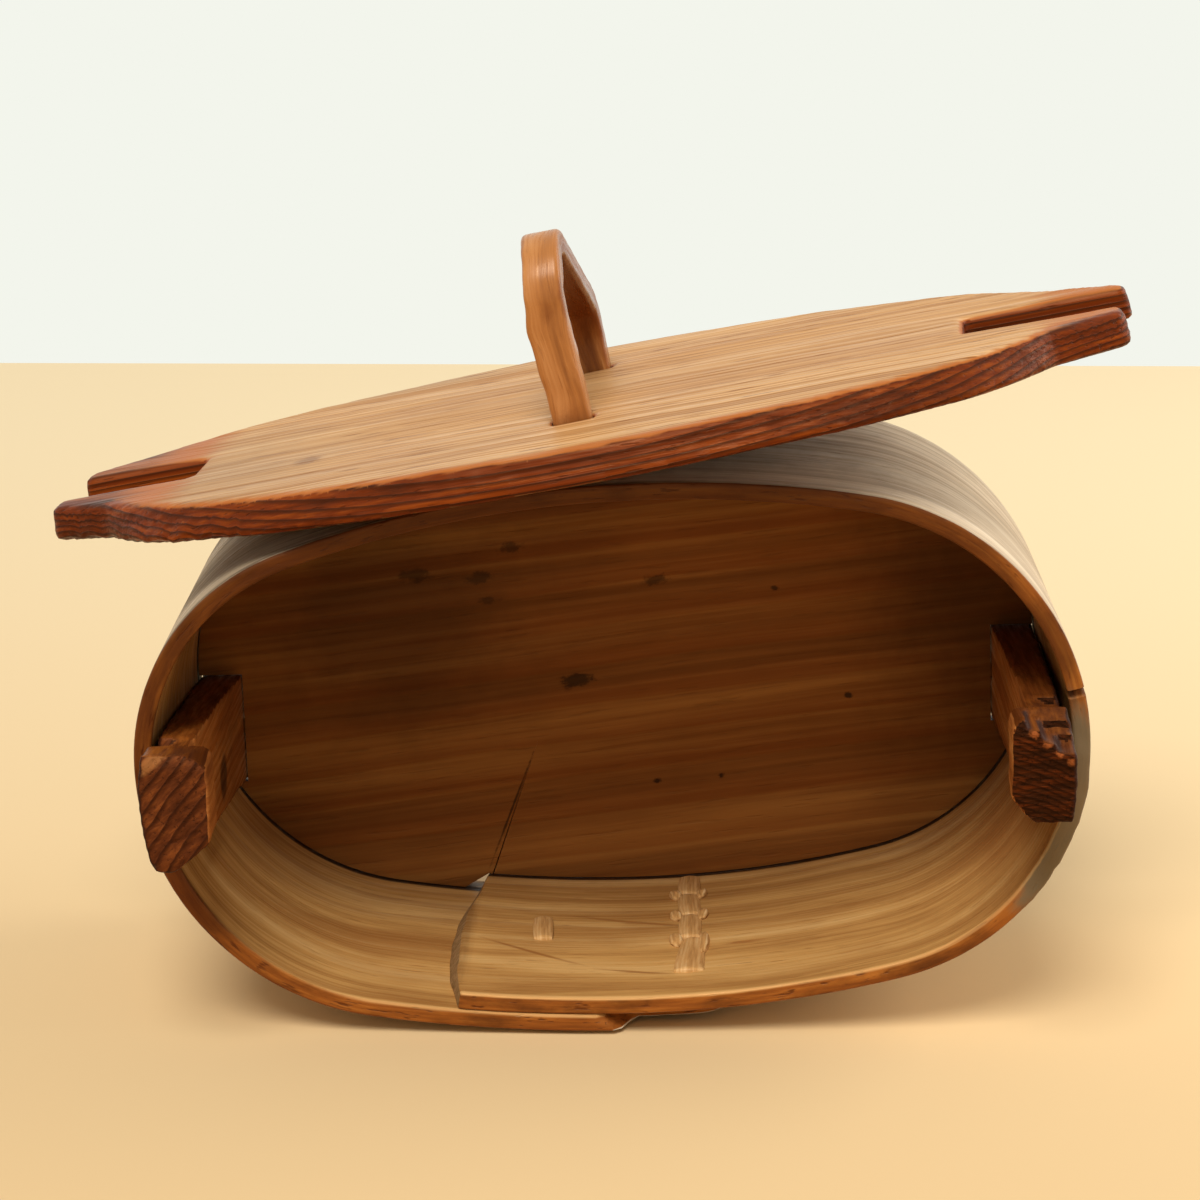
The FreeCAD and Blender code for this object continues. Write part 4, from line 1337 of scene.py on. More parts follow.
@dataclass
class Lid:
    """The lid board: an even skin over its solid, its edges rounded and darkened by use."""

    place: LidFrame
    ease: float = 1.5
    voxel: float = 1.3
    rounding: float = 3.4
    back_rounding: float = 2.2
    prong_rounding: float = 3.0
    prongs: Span = (108.0, 130.0)
    nicked_end: float = -92.0
    nick: float = 0.9
    slots: float = 14.0
    step: float = 2.0
    front: dict[int, float] = field(default_factory=dict)
    back: dict[int, float] = field(default_factory=dict)

    def read_outline(self, board: bpy.types.Object) -> None:
        """Note the front and the back edge at even steps along the board.

        Args:
            board: The board, in the lid's own millimetres.
        """
        for vertex in board.data.vertices:
            key = round(vertex.co.x / self.step)
            self.front[key] = min(self.front.get(key, 0.0), vertex.co.y)
            self.back[key] = max(self.back.get(key, 0.0), vertex.co.y)

    def gaps(self, point: Vector) -> tuple[float, float]:
        """Distances of a point from both long edges.

        Args:
            point: A point of the board.

        Returns:
            Its distance from the front edge and from the back edge.
        """
        key = round(point.x / self.step)
        half = LidSizes.HALF_WIDTH
        return point.y - self.front.get(key, -half), self.back.get(key, half) - point.y

    def wear(self, point: Vector) -> Vector:
        """Round the upper edges and let the sides and the top waver.

        Args:
            point: A point of the board, in the lid's own millimetres.

        Returns:
            The worn point.
        """
        front, back = self.gaps(point)
        u, v, w = point
        high = smooth(w / LidSizes.THICK, 0.25, 1.0)
        back_radius = self.back_rounding + self.prong_rounding * smooth(abs(u), *self.prongs)
        for gap, radius in ((front, self.rounding), (back, back_radius)):
            if gap < radius:
                w -= (radius - math.sqrt(max(radius**2 - (radius - gap) ** 2, 0.0))) * high
        if front < 3.0 and u < self.nicked_end:
            w += self.nick * abs(math.sin(u * 0.36 + waver(u * 0.05, 0, 0) * 2)) * (1 - high)
        edge = min(smooth(abs(v), 20.0, 60.0) + smooth(abs(u), 116.0, 140.0), 1.0)
        along = waver(u * 0.045, 3.0 if v > 0 else 8.0, w * 0.12) * 0.5
        fine = waver(u * 0.22, v * 0.22, w * 0.5) * 0.22
        if abs(v) > self.slots:
            v += math.copysign(min(edge * (along + fine) - 0.4, 0.0), v)
        ridge = waver(u * 0.012, v * 0.42, 6.0) * 0.16
        w += waver(u * 0.03, v * 0.05, 2.0) * 0.3 + ridge * high
        tip = smooth(abs(u), 140.0, 158.0)
        u -= math.copysign(0.4 * tip * (0.7 + waver(v * 0.3, w * 0.5, 4.0)), u)
        return Vector((u, v, w))

    def worn(self, point: Vector, normal: Vector) -> float:
        """How dark use has made a place: the sides fully, the top near its edges.

        Args:
            point: A point of the board, in the lid's own millimetres.
            normal: Its normal.

        Returns:
            The share, from 0 to 1.
        """
        front, back = self.gaps(point)
        share = smooth(1 - normal.z, 0.05, 0.5)
        share += 0.75 * smooth(-point.x, 100.0, 140.0) + 0.4 * smooth(point.x, 118.0, 150.0)
        share += 0.55 * (1 - smooth(front, 1.0, 12.0)) + 0.3 * (1 - smooth(back, 0.0, 7.0))
        return min(share, 1.0)

    def build(self, node: bpy.types.Object) -> bpy.types.Object:
        """Skin the board evenly, wear it and dress it.

        Args:
            node: The lid board's node.

        Returns:
            The finished lid board.
        """
        board = Hand.merged_copy(node, "lid_plank")
        Hand.move_points(board, self.place.back)
        Hand.ease(board, self.ease, 2, 38)
        Hand.remesh(board, self.voxel, 3)
        self.read_outline(board)
        Hand.store_grain(board, lambda p: p * MM)
        Hand.move_points(board, self.wear)
        Hand.store_wear_and_shade(board, self.worn)
        low = [face.normal.z < -0.92 for face in board.data.polygons]
        Hand.move_points(board, self.place.out)
        Hand.shade(board, 60)
        self.dress(board, low)
        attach(board, "lid")
        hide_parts("lid_board")
        return board

    def dress(self, board: bpy.types.Object, low: Sequence[bool]) -> None:
        """Give the top with its worn edges and the underside their own woods.

        Args:
            board: The lid board.
            low: Whether each face points down.
        """
        top = Wood("lid_top", "e4bb8a", "c8965f", "8a5628", band_scale=(1.6, 95.0, 95.0),
                   fibre_scale=(7.0, 620.0, 620.0), fibre_share=0.5, contrast=0.25, warp=0.003,
                   warp_scale=(3.0, 12.0, 12.0), pores=0.9, pore_scale=(50.0, 620.0, 620.0),
                   blotch=0.3, blotch_colour="a06f4a", rough=0.5, bump=0.8, relief=0.6,
                   rings=Rings(2.1, (8.0, -45.0), "94602f", 0.32, 0.3, 1.4),
                   marks=(Mark((-78.0, -25.0, 10.0), (6.0, 8.0, 6.0), "7a4a2a", 0.65, 0.7),
                          Mark((-60.0, 70.0, 10.0), (60.0, 14.0, 12.0), "8d7860", 0.35, 0.9),
                          Mark((90.0, 72.0, 10.0), (50.0, 12.0, 12.0), "8d7860", 0.35, 0.9),
                          Mark((-112.0, -10.0, 10.0), (60.0, 70.0, 12.0), "8f7458", 0.4, 0.9)))
        edge = Wood("lid_edge", "9c4912", "6b2807", "330e02", band_scale=(3.0, 60.0, 420.0),
                    fibre_scale=(9.0, 500.0, 900.0), fibre_share=0.45, contrast=0.25, pores=0.6, blotch=0.45,
                    blotch_colour="341004", blotch_scale=(9.0, 40.0, 60.0), rough=0.42, gloss=0.08,
                    gloss_tone="ffb070", bump=0.6,
                    rings=Rings(1.9, (0.0, -250.0), "1f0802", 0.75, 0.35, 0.3, (2.0, 6.0, 6.0)))
        under = Wood("lid_underside", "9a7350", "735033", "4a2f1b", band_scale=(1.8, 70.0, 70.0),
                     fibre_share=0.4, contrast=0.4, pores=0.6, blotch=0.4, rough=0.6,
                     rings=Rings(2.4, (8.0, -45.0), "553619", 0.4))
        woods = (wood_material(top, edge, 0.5, "b4601f"), wood_material(under))
        Hand.dress(board, woods, lambda face: int(low[face.index]))


@dataclass
class Bow:
    """The bow handle: a bar shaped straight, bent over and let into the lid."""

    place: LidFrame
    ring: float = 1.6
    blank: float = 11.0
    ease: float = 3.3
    thinned: float = 0.12
    stations: tuple[tuple[float, float, float], ...] = (
        (0.0, -4.5, 6.5), (0.10, -4.6, 6.3), (0.17, -5.6, 5.8), (0.215, -6.6, 5.4), (0.25, -5.6, 5.5),
        (0.34, -4.5, 6.3), (0.48, -4.2, 6.6), (0.7, -4.4, 6.8), (0.85, -4.9, 6.6), (1.0, -4.5, 6.5))
    path: Path = field(init=False)

    def __post_init__(self) -> None:
        """Work out the outer line of the bow."""
        s = LidSizes
        turn = 90 - s.BOW_SLOPE
        top = s.THICK + s.BOW_HEIGHT - s.BOW_RADIUS
        centre = s.BOW_RADIUS - s.BOW_NEAR
        far = s.BOW_FAR - s.BOW_FAR_RADIUS
        cos, sin, tan = (rule(math.radians(turn)) for rule in (math.cos, math.sin, math.tan))
        start = (centre + s.BOW_RADIUS * cos, top + s.BOW_RADIUS * sin)
        end_y = far + s.BOW_FAR_RADIUS * cos
        end_z = start[1] - (end_y - start[0]) / tan
        far_height = end_z - s.BOW_FAR_RADIUS * sin
        self.path = Path((
            Straight(-s.BOW_NEAR, -s.LEG_BELOW, -s.BOW_NEAR, top),
            Bend(centre, top, s.BOW_RADIUS, 180, turn),
            Straight(start[0], start[1], end_y, end_z),
            Bend(far, far_height, s.BOW_FAR_RADIUS, turn, 0),
            Straight(s.BOW_FAR, far_height, s.BOW_FAR, -s.LEG_BELOW),
        ))

    def sides(self, share: float) -> tuple[float, float]:
        """Both edges of the bar at a share of its length.

        Args:
            share: The share, from 0 to 1.

        Returns:
            The left and the right edge.
        """
        for (a, left_a, right_a), (b, left_b, right_b) in zip(self.stations, self.stations[1:]):
            if share <= b:
                mix = smooth(share, a, b)
                return left_a + (left_b - left_a) * mix, right_a + (right_b - right_a) * mix
        return self.stations[-1][1:]

    def shape(self, point: Vector) -> Vector:
        """Carve the bar's width and thickness along its length.

        Args:
            point: A point of the straight bar, its width counted as 1.

        Returns:
            The carved point, in millimetres.
        """
        share = point.x / self.path.length
        left, right = self.sides(share)
        across = point.y + 0.5
        y = left + (right - left) * across
        thin = 1 - self.thinned * plateau(share, (0.2, 0.4), (0.7, 0.9))
        wave = waver(point.x * 0.06, across * 1.3, point.z * 0.1) * 0.5
        fine = waver(point.x * 0.25, across * 3.0, point.z * 0.4) * 0.15
        middle = LidSizes.BOW_THICK / 2
        z = middle + (point.z - middle) * thin + wave * 0.6 + fine
        return Vector((point.x, y + wave * 0.5 + fine, z))

    def bend(self, point: Vector) -> Vector:
        """Bend the straight bar over and turn it a little on the lid.

        Args:
            point: A point of the straight bar.

        Returns:
            Its place in the lid's own directions.
        """
        s = LidSizes
        y, z = self.path.place(point.x, point.z)
        near = Vector((s.BOW_SHIFT, -s.BOW_NEAR + s.BOW_THICK / 2, 0))
        swing = Matrix.Rotation(math.radians(s.BOW_TURN), 3, "Z")
        return near + swing @ (Vector((point.y, y, z)) - near)

    def build(self) -> bpy.types.Object:
        """Shape the bar straight, round its edges, bend it and dress it.

        Returns:
            The finished bow.
        """
        run = self.path.length
        bar = Hand.block("bent_bow", (0, -self.blank / 2, 0), (run, self.blank / 2, LidSizes.BOW_THICK),
                         (round(run / self.ring), 3, 2))
        Hand.ease(bar, self.ease, 6, 40)
        Hand.store_grain(bar, lambda p: p * MM)
        Hand.move_points(bar, lambda p: Vector((p.x, p.y / self.blank, p.z)))
        Hand.move_points(bar, self.shape)
        Hand.move_points(bar, self.bend)
        Hand.move_points(bar, self.place.out)
        Hand.tidy_normals(bar)
        Hand.shade(bar, 60)
        finish = wood_material(Wood("bow_root", "d3955a", "ad6e36", "784218", band_scale=(10.0, 150.0, 150.0),
                                    fibre_scale=(22.0, 700.0, 700.0), fibre_share=0.4, contrast=0.3, warp=0.01,
                                    warp_scale=(22.0, 60.0, 60.0), pores=0.3, blotch=0.2, blotch_colour="8a4d20",
                                    rough=0.34, gloss=0.35, gloss_tone="ffe2c0", coat=0.15, bump=0.5,
                                    marks=(Mark((0.24 * run, 0.5, 0.0), (4.4, 2.6, 4.0), "7a3f16", 0.55, 0.95, 0.5),
                                           Mark((0.26 * run, 5.5, 2.0), (9.0, 2.2, 5.0), "7a3d14", 0.7, 0.7),
                                           Mark((0.60 * run, 6.0, 6.0), (0.42 * run, 4.2, 9.0), "7a370b", 0.75, 0.6),
                                           # Painted shade on the bow's inner face, under the arch.
                                           Mark((0.62 * run, 0.0, 9.5), (0.5 * run, 9.0, 4.2), "5e2a0a", 0.85, 0.5),
                                           Mark((0.05 * run, 0.0, 0.0), (9.0, 9.0, 5.0), "7a3f16", 0.6, 0.8),
                                           Mark((0.99 * run, 0.0, 0.0), (14.0, 9.0, 12.0), "6b2c0a", 0.7, 0.8))))
        Hand.dress(bar, (finish,))
        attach(bar, "lid")
        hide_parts("bow_handle")
        return bar


@dataclass
class Posts:
    """Both sprung posts, with their worn heads."""

    place: BoxFrame
    voxel: float = 0.95
    ease: float = 1.4
    rise: float = 0.0
    slope: float = 0.0
    half: float = 15.0
    head_span: Span = (-29.0, -14.0)
    neck_span: Span = (-10.0, -3.0)
    behind_span: Span = (1.0, 6.0)
    shaft_span: Span = (30.0, 45.0)
    filling_span: Span = (-13.5, 5.0)
    filling_inset: float = 0.6
    outer_cut: float = 4.4
    inner_cut: float = 7.0
    seat: Plateau = ((-12.0, -5.0), (8.0, 30.0))
    end_lean: float = -38.0

    def wear(self, point: Vector, side: Side) -> Vector:
        """Let a post's faces waver as if cut with a knife, and break the right head's face.

        Args:
            point: A point of the post, in the box's own millimetres.
            side: Which post it is.

        Returns:
            The worn point.
        """
        wave = noise.noise_vector(Vector((point.x * 0.09, point.y * 0.03, point.z * 0.09)))
        fine = noise.noise_vector(Vector((point.x * 0.4, point.y * 0.12, point.z * 0.4)))
        head = 1 - smooth(point.y, -14.0, -10.0)
        face = 1 - smooth(point.y, -29.0, -24.0)
        free = 1 - 0.9 * smooth(point.y, 70.0, 95.0)
        worn = point + wave * 0.35 * free + fine * (0.12 + 0.2 * head) * free
        near = self.half - abs(point.z - self.level(point.y))
        worn.y += face * 1.2 * (1 - smooth(near, 0.0, 4.5))
        if side is Side.LEFT:
            worn.y += face * 0.14 * math.sin((point.z * 0.79 - point.x * 0.61) * 2.9 + wave.x * 2)
        else:
            splinter = waver(point.x * 0.9 + point.z * 0.3, 1.0, point.z * 0.14)
            worn.y += face * (0.15 + 0.5 * abs(splinter))
        if point.y < -20:
            worn.y = max(worn.y, point.y)
        outward = max(0.0, side.value * (worn.x - point.x) + 0.3)
        worn.x -= side.value * outward * plateau(point.y, *self.seat)
        return worn

    def level(self, depth: float) -> float:
        """Height of a post's middle line at a depth behind the rim."""
        return self.rise + self.slope * depth

    def measure(self, post: bpy.types.Object) -> None:
        """Read the middle line and the half height of a post from its head and its shaft.

        Args:
            post: The post, in the box's own millimetres.
        """
        skin = 0.5
        middles, depths = [], []
        for low, high in (self.head_span, self.shaft_span):
            heights = [vertex.co.z for vertex in post.data.vertices if low < vertex.co.y < high]
            middles.append((min(heights) + max(heights)) / 2)
            depths.append((low + high) / 2)
            self.half = (max(heights) - min(heights)) / 2 - skin
        self.slope = (middles[1] - middles[0]) / (depths[1] - depths[0])
        self.rise = middles[1] - self.slope * depths[1]

    def reach(self, post: bpy.types.Object, span: Span) -> Span:
        """Innermost and outermost place along the box of a stretch of a post.

        Args:
            post: The post, in the box's own millimetres.
            span: The stretch, by its start and end behind the rim.

        Returns:
            The lowest and the highest place.
        """
        places = [vertex.co.x for vertex in post.data.vertices if span[0] < vertex.co.y < span[1]]
        return min(places), max(places)

    def fill_neck(self, post: bpy.types.Object, side: Side) -> bpy.types.Object:
        """Even out the step between head and shaft, which hardly shows on the old box.

        Args:
            post: The post with an even skin, in the box's own millimetres.
            side: Which post it is.

        Returns:
            The post joined with its filling.
        """
        gap = 0.1
        neck, shaft = self.reach(post, self.neck_span), self.reach(post, self.behind_span)
        low = max(neck[0], shaft[0]) + gap
        high = min(neck[1], shaft[1]) - gap
        half = self.half - self.filling_inset
        inner = high if side is Side.LEFT else low

        def lean(point: Vector) -> Vector:
            """Set a corner of the filling on the post's middle line, with the corners cut back.

            Args:
                point: The corner.

            Returns:
                Its new place.
            """
            cut = self.outer_cut
            if abs(point.x - inner) < 0.01:
                cut = self.inner_cut if point.z < 0 else 0.0
            height = math.copysign(half - cut, point.z)
            return Vector((point.x, point.y, height + self.level(point.y)))

        start, end = self.filling_span
        filling = Hand.block("filling", (low, start, -half), (high, end, half), (1, 1, 1))
        Hand.move_points(filling, lean)
        return Hand.join([post, filling], post.name)

    def build_post(self, node: bpy.types.Object, side: Side) -> bpy.types.Object:
        """Skin one post evenly, wear it and dress it.

        Args:
            node: The post's node.
            side: Which post it is.

        Returns:
            The finished post.
        """
        name = side.name.lower()
        post = Hand.merged_copy(node, "sprung_post_" + name)
        Hand.move_points(post, lambda p: self.place.back(p) / MM)
        Hand.ease(post, self.ease, 2, 30)
        Hand.remesh(post, self.voxel, 0)
        self.measure(post)
        post = self.fill_neck(post, side)
        Hand.remesh(post, self.voxel, 3)
        normals = [face.normal.copy() for face in post.data.polygons]
        Hand.store_grain(post, lambda p: Vector((p.y, p.x, p.z)) * MM)
        Hand.store_wear_and_shade(post, lambda p, n: self.shade_share(p, n, side))
        Hand.move_points(post, lambda p: self.wear(p, side))
        Hand.move_points(post, lambda p: self.place.out(p * MM))
        Hand.shade(post, 50)
        self.dress(post, name, side, normals)
        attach(post, "post_" + name)
        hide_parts("post_" + name)
        return post

    def shade_share(self, point: Vector, normal: Vector, side: Side) -> float:
        """Share of painted shade on a post: its outer side, its low side, deeper into the box and the left head's
        outer rim.

        Args:
            point: A point of the post, in the box's own millimetres.
            normal: Its normal.
            side: Which post it is.

        Returns:
            The share, from 0 to 1.
        """
        out = smooth(normal.x * side.value, 0.1, 0.7)
        low = smooth(-normal.z, 0.3, 0.8)
        deep = 0.35 * smooth(point.y, 0.0, 60.0)
        if side is Side.LEFT and point.y < self.head_span[1]:
            out += 0.9 * (1 - smooth(point.x + 134.0, 1.0, 4.0)) * (1 - smooth(point.z - self.rise, -2.0, 6.0))
        return min(1.0, 0.9 * out + 0.8 * low + deep)

    def dress(self, post: bpy.types.Object, name: str, side: Side, normals: Sequence[Vector]) -> None:
        """Give the head's end and the inner face their own woods, and the sides a darker copy of the inner face's
        wood as painted shade.

        Args:
            post: The post.
            name: Its side in words, which starts the names of its woods.
            side: Which post it is.
            normals: Normal of every face before it was worn.
        """
        # Painted shade: dark wood mixed in by shade_share.
        dark = Wood(name + "_post_dark", "4a2314", "30140c", "1a0a06", band_scale=(4.0, 110.0, 110.0),
                    contrast=0.3, pores=0.4, blotch=0.45, blotch_colour="2a160e", rough=0.55, gloss=0.08,
                    gloss_tone="b4764a")
        turn = Euler((math.radians(self.end_lean), 0, 0)).to_matrix()
        dark_leaf_mark = ()
        if side is Side.LEFT:
            # A dark leaf-shaped mark on the left post's inner face.
            dark_leaf_mark = (Mark((56.0, -117.0, self.rise - 12.0), (10.0, 9.0, 8.0), "3a2214", 0.9, 0.4, 0.25),)
            streaks = (((-29.0, -133.5, self.rise + 8), (9.0, 1.7, 3.0), "a8683a", 0.7),
                       ((-29.0, -125.0, self.rise + 19), (9.0, 8.0, 2.2), "a86c3a", 0.6))
            end = Wood("left_post_end", "8a4a20", "5c2d14", "331507", band_scale=(200.0, 90.0, 300.0),
                       fibre_scale=(400.0, 260.0, 900.0), fibre_share=0.45, contrast=0.3, pores=0.5,
                       blotch=0.5, blotch_colour="391a10", rough=0.52, bump=0.9, relief=0.8,
                       turn=(self.end_lean, 0.0, 0.0), gloss=0.1,
                       rings=Rings(3.4, (0.0, -300.0), "2a1006", 0.8, 0.5, 0.5, (9.0, 30.0, 30.0)),
                       marks=tuple(Mark(tuple(turn @ Vector(spot)), reach, colour, strength)
                                   for spot, reach, colour, strength in streaks))
        else:
            end = Wood("right_post_end", "6e2e0c", "361808", "190903", band_scale=(300.0, 50.0, 420.0),
                       fibre_scale=(300.0, 160.0, 1400.0), fibre_share=0.5, contrast=0.25, pores=0.5,
                       blotch=0.4, blotch_colour="1c0b05", rough=0.55, gloss=0.06, bump=1.0, relief=0.9,
                       rings=Rings(1.7, (0.0, -300.0), "120602", 0.6, 0.4, 0.5, (9.0, 30.0, 30.0)),
                       marks=tuple(Mark((-27.0, 116.0 + 3.6 * step, self.rise + 13.0 - 2.7 * step), (12.0, 1.9, 1.7),
                                        "a85a2a", 0.7, 0.7, 0.9) for step in range(5)))
        inner = Wood(name + "_post_inner", "c98a4c", "9c5c2a", "5a2b10", band_scale=(4.0, 90.0, 90.0),
                     contrast=0.3, pores=0.4, blotch=0.35, blotch_colour="4c2510", rough=0.45, gloss=0.2, marks=dark_leaf_mark)
        # Painted shade: the sides' wood is a darker copy of the inner face's wood.
        sides = Wood(name + "_post_side", "96551f", "64320f", "351407", band_scale=(4.0, 110.0, 110.0),
                     contrast=0.3, pores=0.4, blotch=0.45, blotch_colour="2a1006", rough=0.5, gloss=0.12)
        woods = tuple(wood_material(wood, dark, 0.5) for wood in (end, inner, sides))
        facing = 0.75

        def choose(face: bpy.types.MeshPolygon) -> int:
            """Number of a face's wood: 0 on the head's end, 1 on the inner face, 2 on the sides.

            Args:
                face: The face.

            Returns:
                The number.
            """
            normal = normals[face.index]
            if normal.y < -facing:
                return 0
            return 1 if normal.x * side.value < -facing else 2

        Hand.dress(post, woods, choose)


@dataclass
class Base:
    """The base board inside the band: its finish, with the marks that use left on it and painted shade and light
    over it.
    """

    place: BoxFrame
    tilt: float = 8.0
    dots: tuple[tuple[float, float, float, float, str, float], ...] = (
        (-12.7, -6.8, 6.5, 2.8, "1e0d04", 0.85), (13.0, 24.5, 5.0, 2.2, "241005", 0.7),
        (-41.0, 26.7, 5.5, 2.4, "281204", 0.7), (-61.0, 28.2, 6.0, 3.2, "221004", 0.7),
        (-38.0, 19.6, 4.0, 1.6, "281204", 0.6), (-31.0, 36.0, 4.5, 2.2, "281204", 0.7),
        (12.0, -40.0, 1.6, 1.2, "1c0c04", 0.9), (32.0, -39.0, 1.4, 1.1, "1c0c04", 0.9),
        (72.0, -14.0, 1.6, 1.2, "1c0c04", 0.9), (50.0, 21.0, 2.0, 1.2, "1c0c04", 0.8))
    crack: tuple[float, float, float, float] = (-24.9, -26.0, -43.3, -71.6)
    # Painted shade on the left, top and right of the base, and a painted pool of light low in the middle.
    clouds: tuple[tuple[float, float, float, float, str, float], ...] = (
        (-70.0, 20.0, 62.0, 62.0, "2a1405", 0.55), (10.0, 66.0, 140.0, 34.0, "2a1405", 0.45),
        (112.0, 10.0, 52.0, 70.0, "2a1405", 0.6), (5.0, -60.0, 110.0, 16.0, "a1652c", 0.3))
    through: float = 3.0

    def mark_place(self, along: float, up: float) -> Vector:
        """Place in the finish's own directions of a point on the base's inner face.

        Args:
            along: Place along the box.
            up: Place across the box.

        Returns:
            The place, in millimetres.
        """
        inner = BandSizes.DEPTH - BandSizes.BASE
        point = self.place.out(Vector((along, inner, up)) * MM)
        return Euler((math.radians(-90), 0, math.radians(-self.tilt))).to_matrix() @ point / MM

    def dress(self, node: bpy.types.Object) -> None:
        """Give the base board its finish.

        Args:
            node: The base board's node.
        """
        marks = [Mark(tuple(self.mark_place(x, z)), (wide, high, self.through), colour, strength, 0.6, 0.9)
                 for x, z, wide, high, colour, strength in self.dots]
        x, z, to_x, to_z = self.crack
        lean = math.degrees(math.atan2(z - to_z, x - to_x)) - self.tilt + self.roll
        middle = self.mark_place((x + to_x) / 2, (z + to_z) / 2)
        half = math.hypot(x - to_x, z - to_z) / 2
        marks.append(Mark(tuple(middle), (half, 0.5, self.through), "1a0b03", 0.8, 0.6, 0.6, -lean))
        # Painted shade and light from the clouds table.
        for x, z, wide, high, colour, strength in self.clouds:
            marks.append(Mark(tuple(self.mark_place(x, z)), (wide, high, self.through), colour, strength, 0.9))
        finish = Wood("base_inside", "aa7438", "824f22", "5a3212", band_scale=(1.6, 70.0, 70.0),
                      fibre_scale=(8.0, 420.0, 420.0), fibre_share=0.3, contrast=0.35, warp=0.006, pores=0.25,
                      pore_scale=(60.0, 800.0, 800.0), blotch=0.3, blotch_colour="4a2308", rough=0.5,
                      source=Source.OBJECT, turn=(-90.0, 0.0, -self.tilt), bump=0.6,
                      rings=Rings(10.5, (260.0, 60.0), "76380f", 0.4, 0.25, 0.8, (1.6, 8.0, 8.0)),
                      marks=tuple(marks))
        Hand.dress(node, (wood_material(finish),))

    @property
    def roll(self) -> float:
        """Roll of the box in degrees."""
        return math.degrees(math.atan2(self.place.turn[2][0], self.place.turn[0][0]))


@dataclass
class RootSewing:
    """Split-root straps through the lap: one single stitch and a row of four."""

    place: BoxFrame
    band: Band
    shift: float = 21.0
    width: float = 6.2
    single_shift: float = -23.4
    single_width: float = 5.5
    thick: float = 1.0
    shares: tuple[float, ...] = (1.0, 0.831, 0.647, 0.449, 0.174)
    single: Span = (0.652, 0.464)
    base_gap: float = 3.0
    face_gap: float = 0.3
    end_gap: float = 0.45
    bend: float = 1.15
    slice: float = 0.8
    flare_end: float = 25.0
    skews: tuple[float, ...] = (0.5, -0.6, 0.4, 1.6)
    lumps: tuple[tuple[int, float, Side, Point], ...] = (
        (1, 0.0, Side.LEFT, (1.9, 3.6, 1.6)), (2, 0.0, Side.LEFT, (1.9, 3.6, 1.6)),
        (3, -1.0, Side.LEFT, (2.1, 5.2, 1.6)), (1, 0.0, Side.RIGHT, (1.5, 3.4, 1.5)),
        (2, 0.0, Side.RIGHT, (1.7, 4.0, 1.5)), (3, -5.0, Side.RIGHT, (1.6, 9.0, 1.6)))

    def surface(self, shift: float, outside: bool) -> float:
        """Height of a face of the lap.

        Args:
            shift: Place along the box.
            outside: Whether the outer face is meant, or else the inner one.

        Returns:
            The height in the box's own millimetres.
        """
        stretches = self.band.path.stretches
        left = shift < BandSizes.BOTTOM_CROWN
        if outside:
            arc = stretches[8] if left else stretches[9]
            radius = arc.radius + BandSizes.WALL
        else:
            arc = stretches[0] if left else stretches[1]
            radius = arc.radius
        return arc.z - math.sqrt(radius**2 - (shift - arc.x) ** 2)

    def strap(self, name: str, shift: float, width: float, near: float, far: float,
              skew: float) -> bpy.types.Object:
        """One strap: a flat strip domed on its outer face and bent round through both layers.

        Args:
            name: Name of the strap.
            shift: Its middle along the box.
            width: Its width.
            near: Its end nearest the rim.
            far: Its end nearest the base.
            skew: How far it slants sideways from one end to the other.

        Returns:
            The strap, in the box's own millimetres.
        """
        top = self.surface(shift, False) + self.face_gap + self.thick
        low = self.surface(shift, True) - self.face_gap - self.thick
        bend = self.bend
        middle = (top + low) / 2
        path = Path((
            Straight(near, middle, near, top - bend),
            Bend(near + bend, top - bend, bend, 180, 90),
            Straight(near + bend, top, far - bend, top),
            Bend(far - bend, top - bend, bend, 90, 0),
            Straight(far, top - bend, far, low + bend),
            Bend(far - bend, low + bend, bend, 0, -90),
            Straight(far - bend, low, near + bend, low),
            Bend(near + bend, low + bend, bend, -90, -180),
            Straight(near, low + bend, near, middle),
        ))
        length = path.length
        slices = (round(length / self.slice), 8, 2)
        strip = Hand.block(name, (0, -width / 2, 0), (length, width / 2, self.thick), slices)
        Hand.ease(strip, 0.25, 2, 40)
        Hand.store_grain(strip, lambda p: p * MM)
        run = top - bend - middle
        span = far - near
        inner_end = run + span + 4
        flare = 0.42 if near < self.flare_end and width > self.single_width else 0.0

        def shape(point: Vector) -> Vector:
            """Dome, swell and slant the flat strip, then bend it round the lap.

            Args:
                point: A point of the flat strip.

            Returns:
                Its place in the box's own millimetres.
            """
            side = 2 * point.y / width
            inner = point.z / self.thick
            dome = 0.75 * side**2 * (1 - inner)
            ripple = waver(point.x * 0.5, point.y * 0.9, shift + near) * 0.12 * (1 - inner)
            share = min(max((point.x - run) / span, 0.0), 1.0) if point.x < inner_end else 0.5
            swell = 1 + 0.12 * math.sin(math.pi * share) + flare * (1 - share)
            y, z = path.place(point.x, point.z + dome + ripple)
            return Vector((shift + point.y * swell + skew * (share - 0.5), y, z))

        Hand.move_points(strip, shape)
        return strip

    def lump(self, name: str, shift: float, depth: float, side: Side, reach: Point) -> bpy.types.Object:
        """One fat turn of root that shows beside a strap.

        Args:
            name: Name of the lump.
            shift: Middle of the strap along the box.
            depth: Place behind the rim.
            side: Side of the strap on which it lies.
            reach: Half its width, length and height.

        Returns:
            The lump, in the box's own millimetres.
        """
        Hand.clear()
        bpy.ops.mesh.primitive_uv_sphere_add(segments=24, ring_count=14, radius=1.0)
        lump = bpy.context.object
        lump.name = name
        Hand.store_grain(lump, lambda p: Vector((p.y * 3, p.x * 2, p.z)) * MM)
        middle = shift + side.value * (self.width / 2 + reach[0] * 0.55)

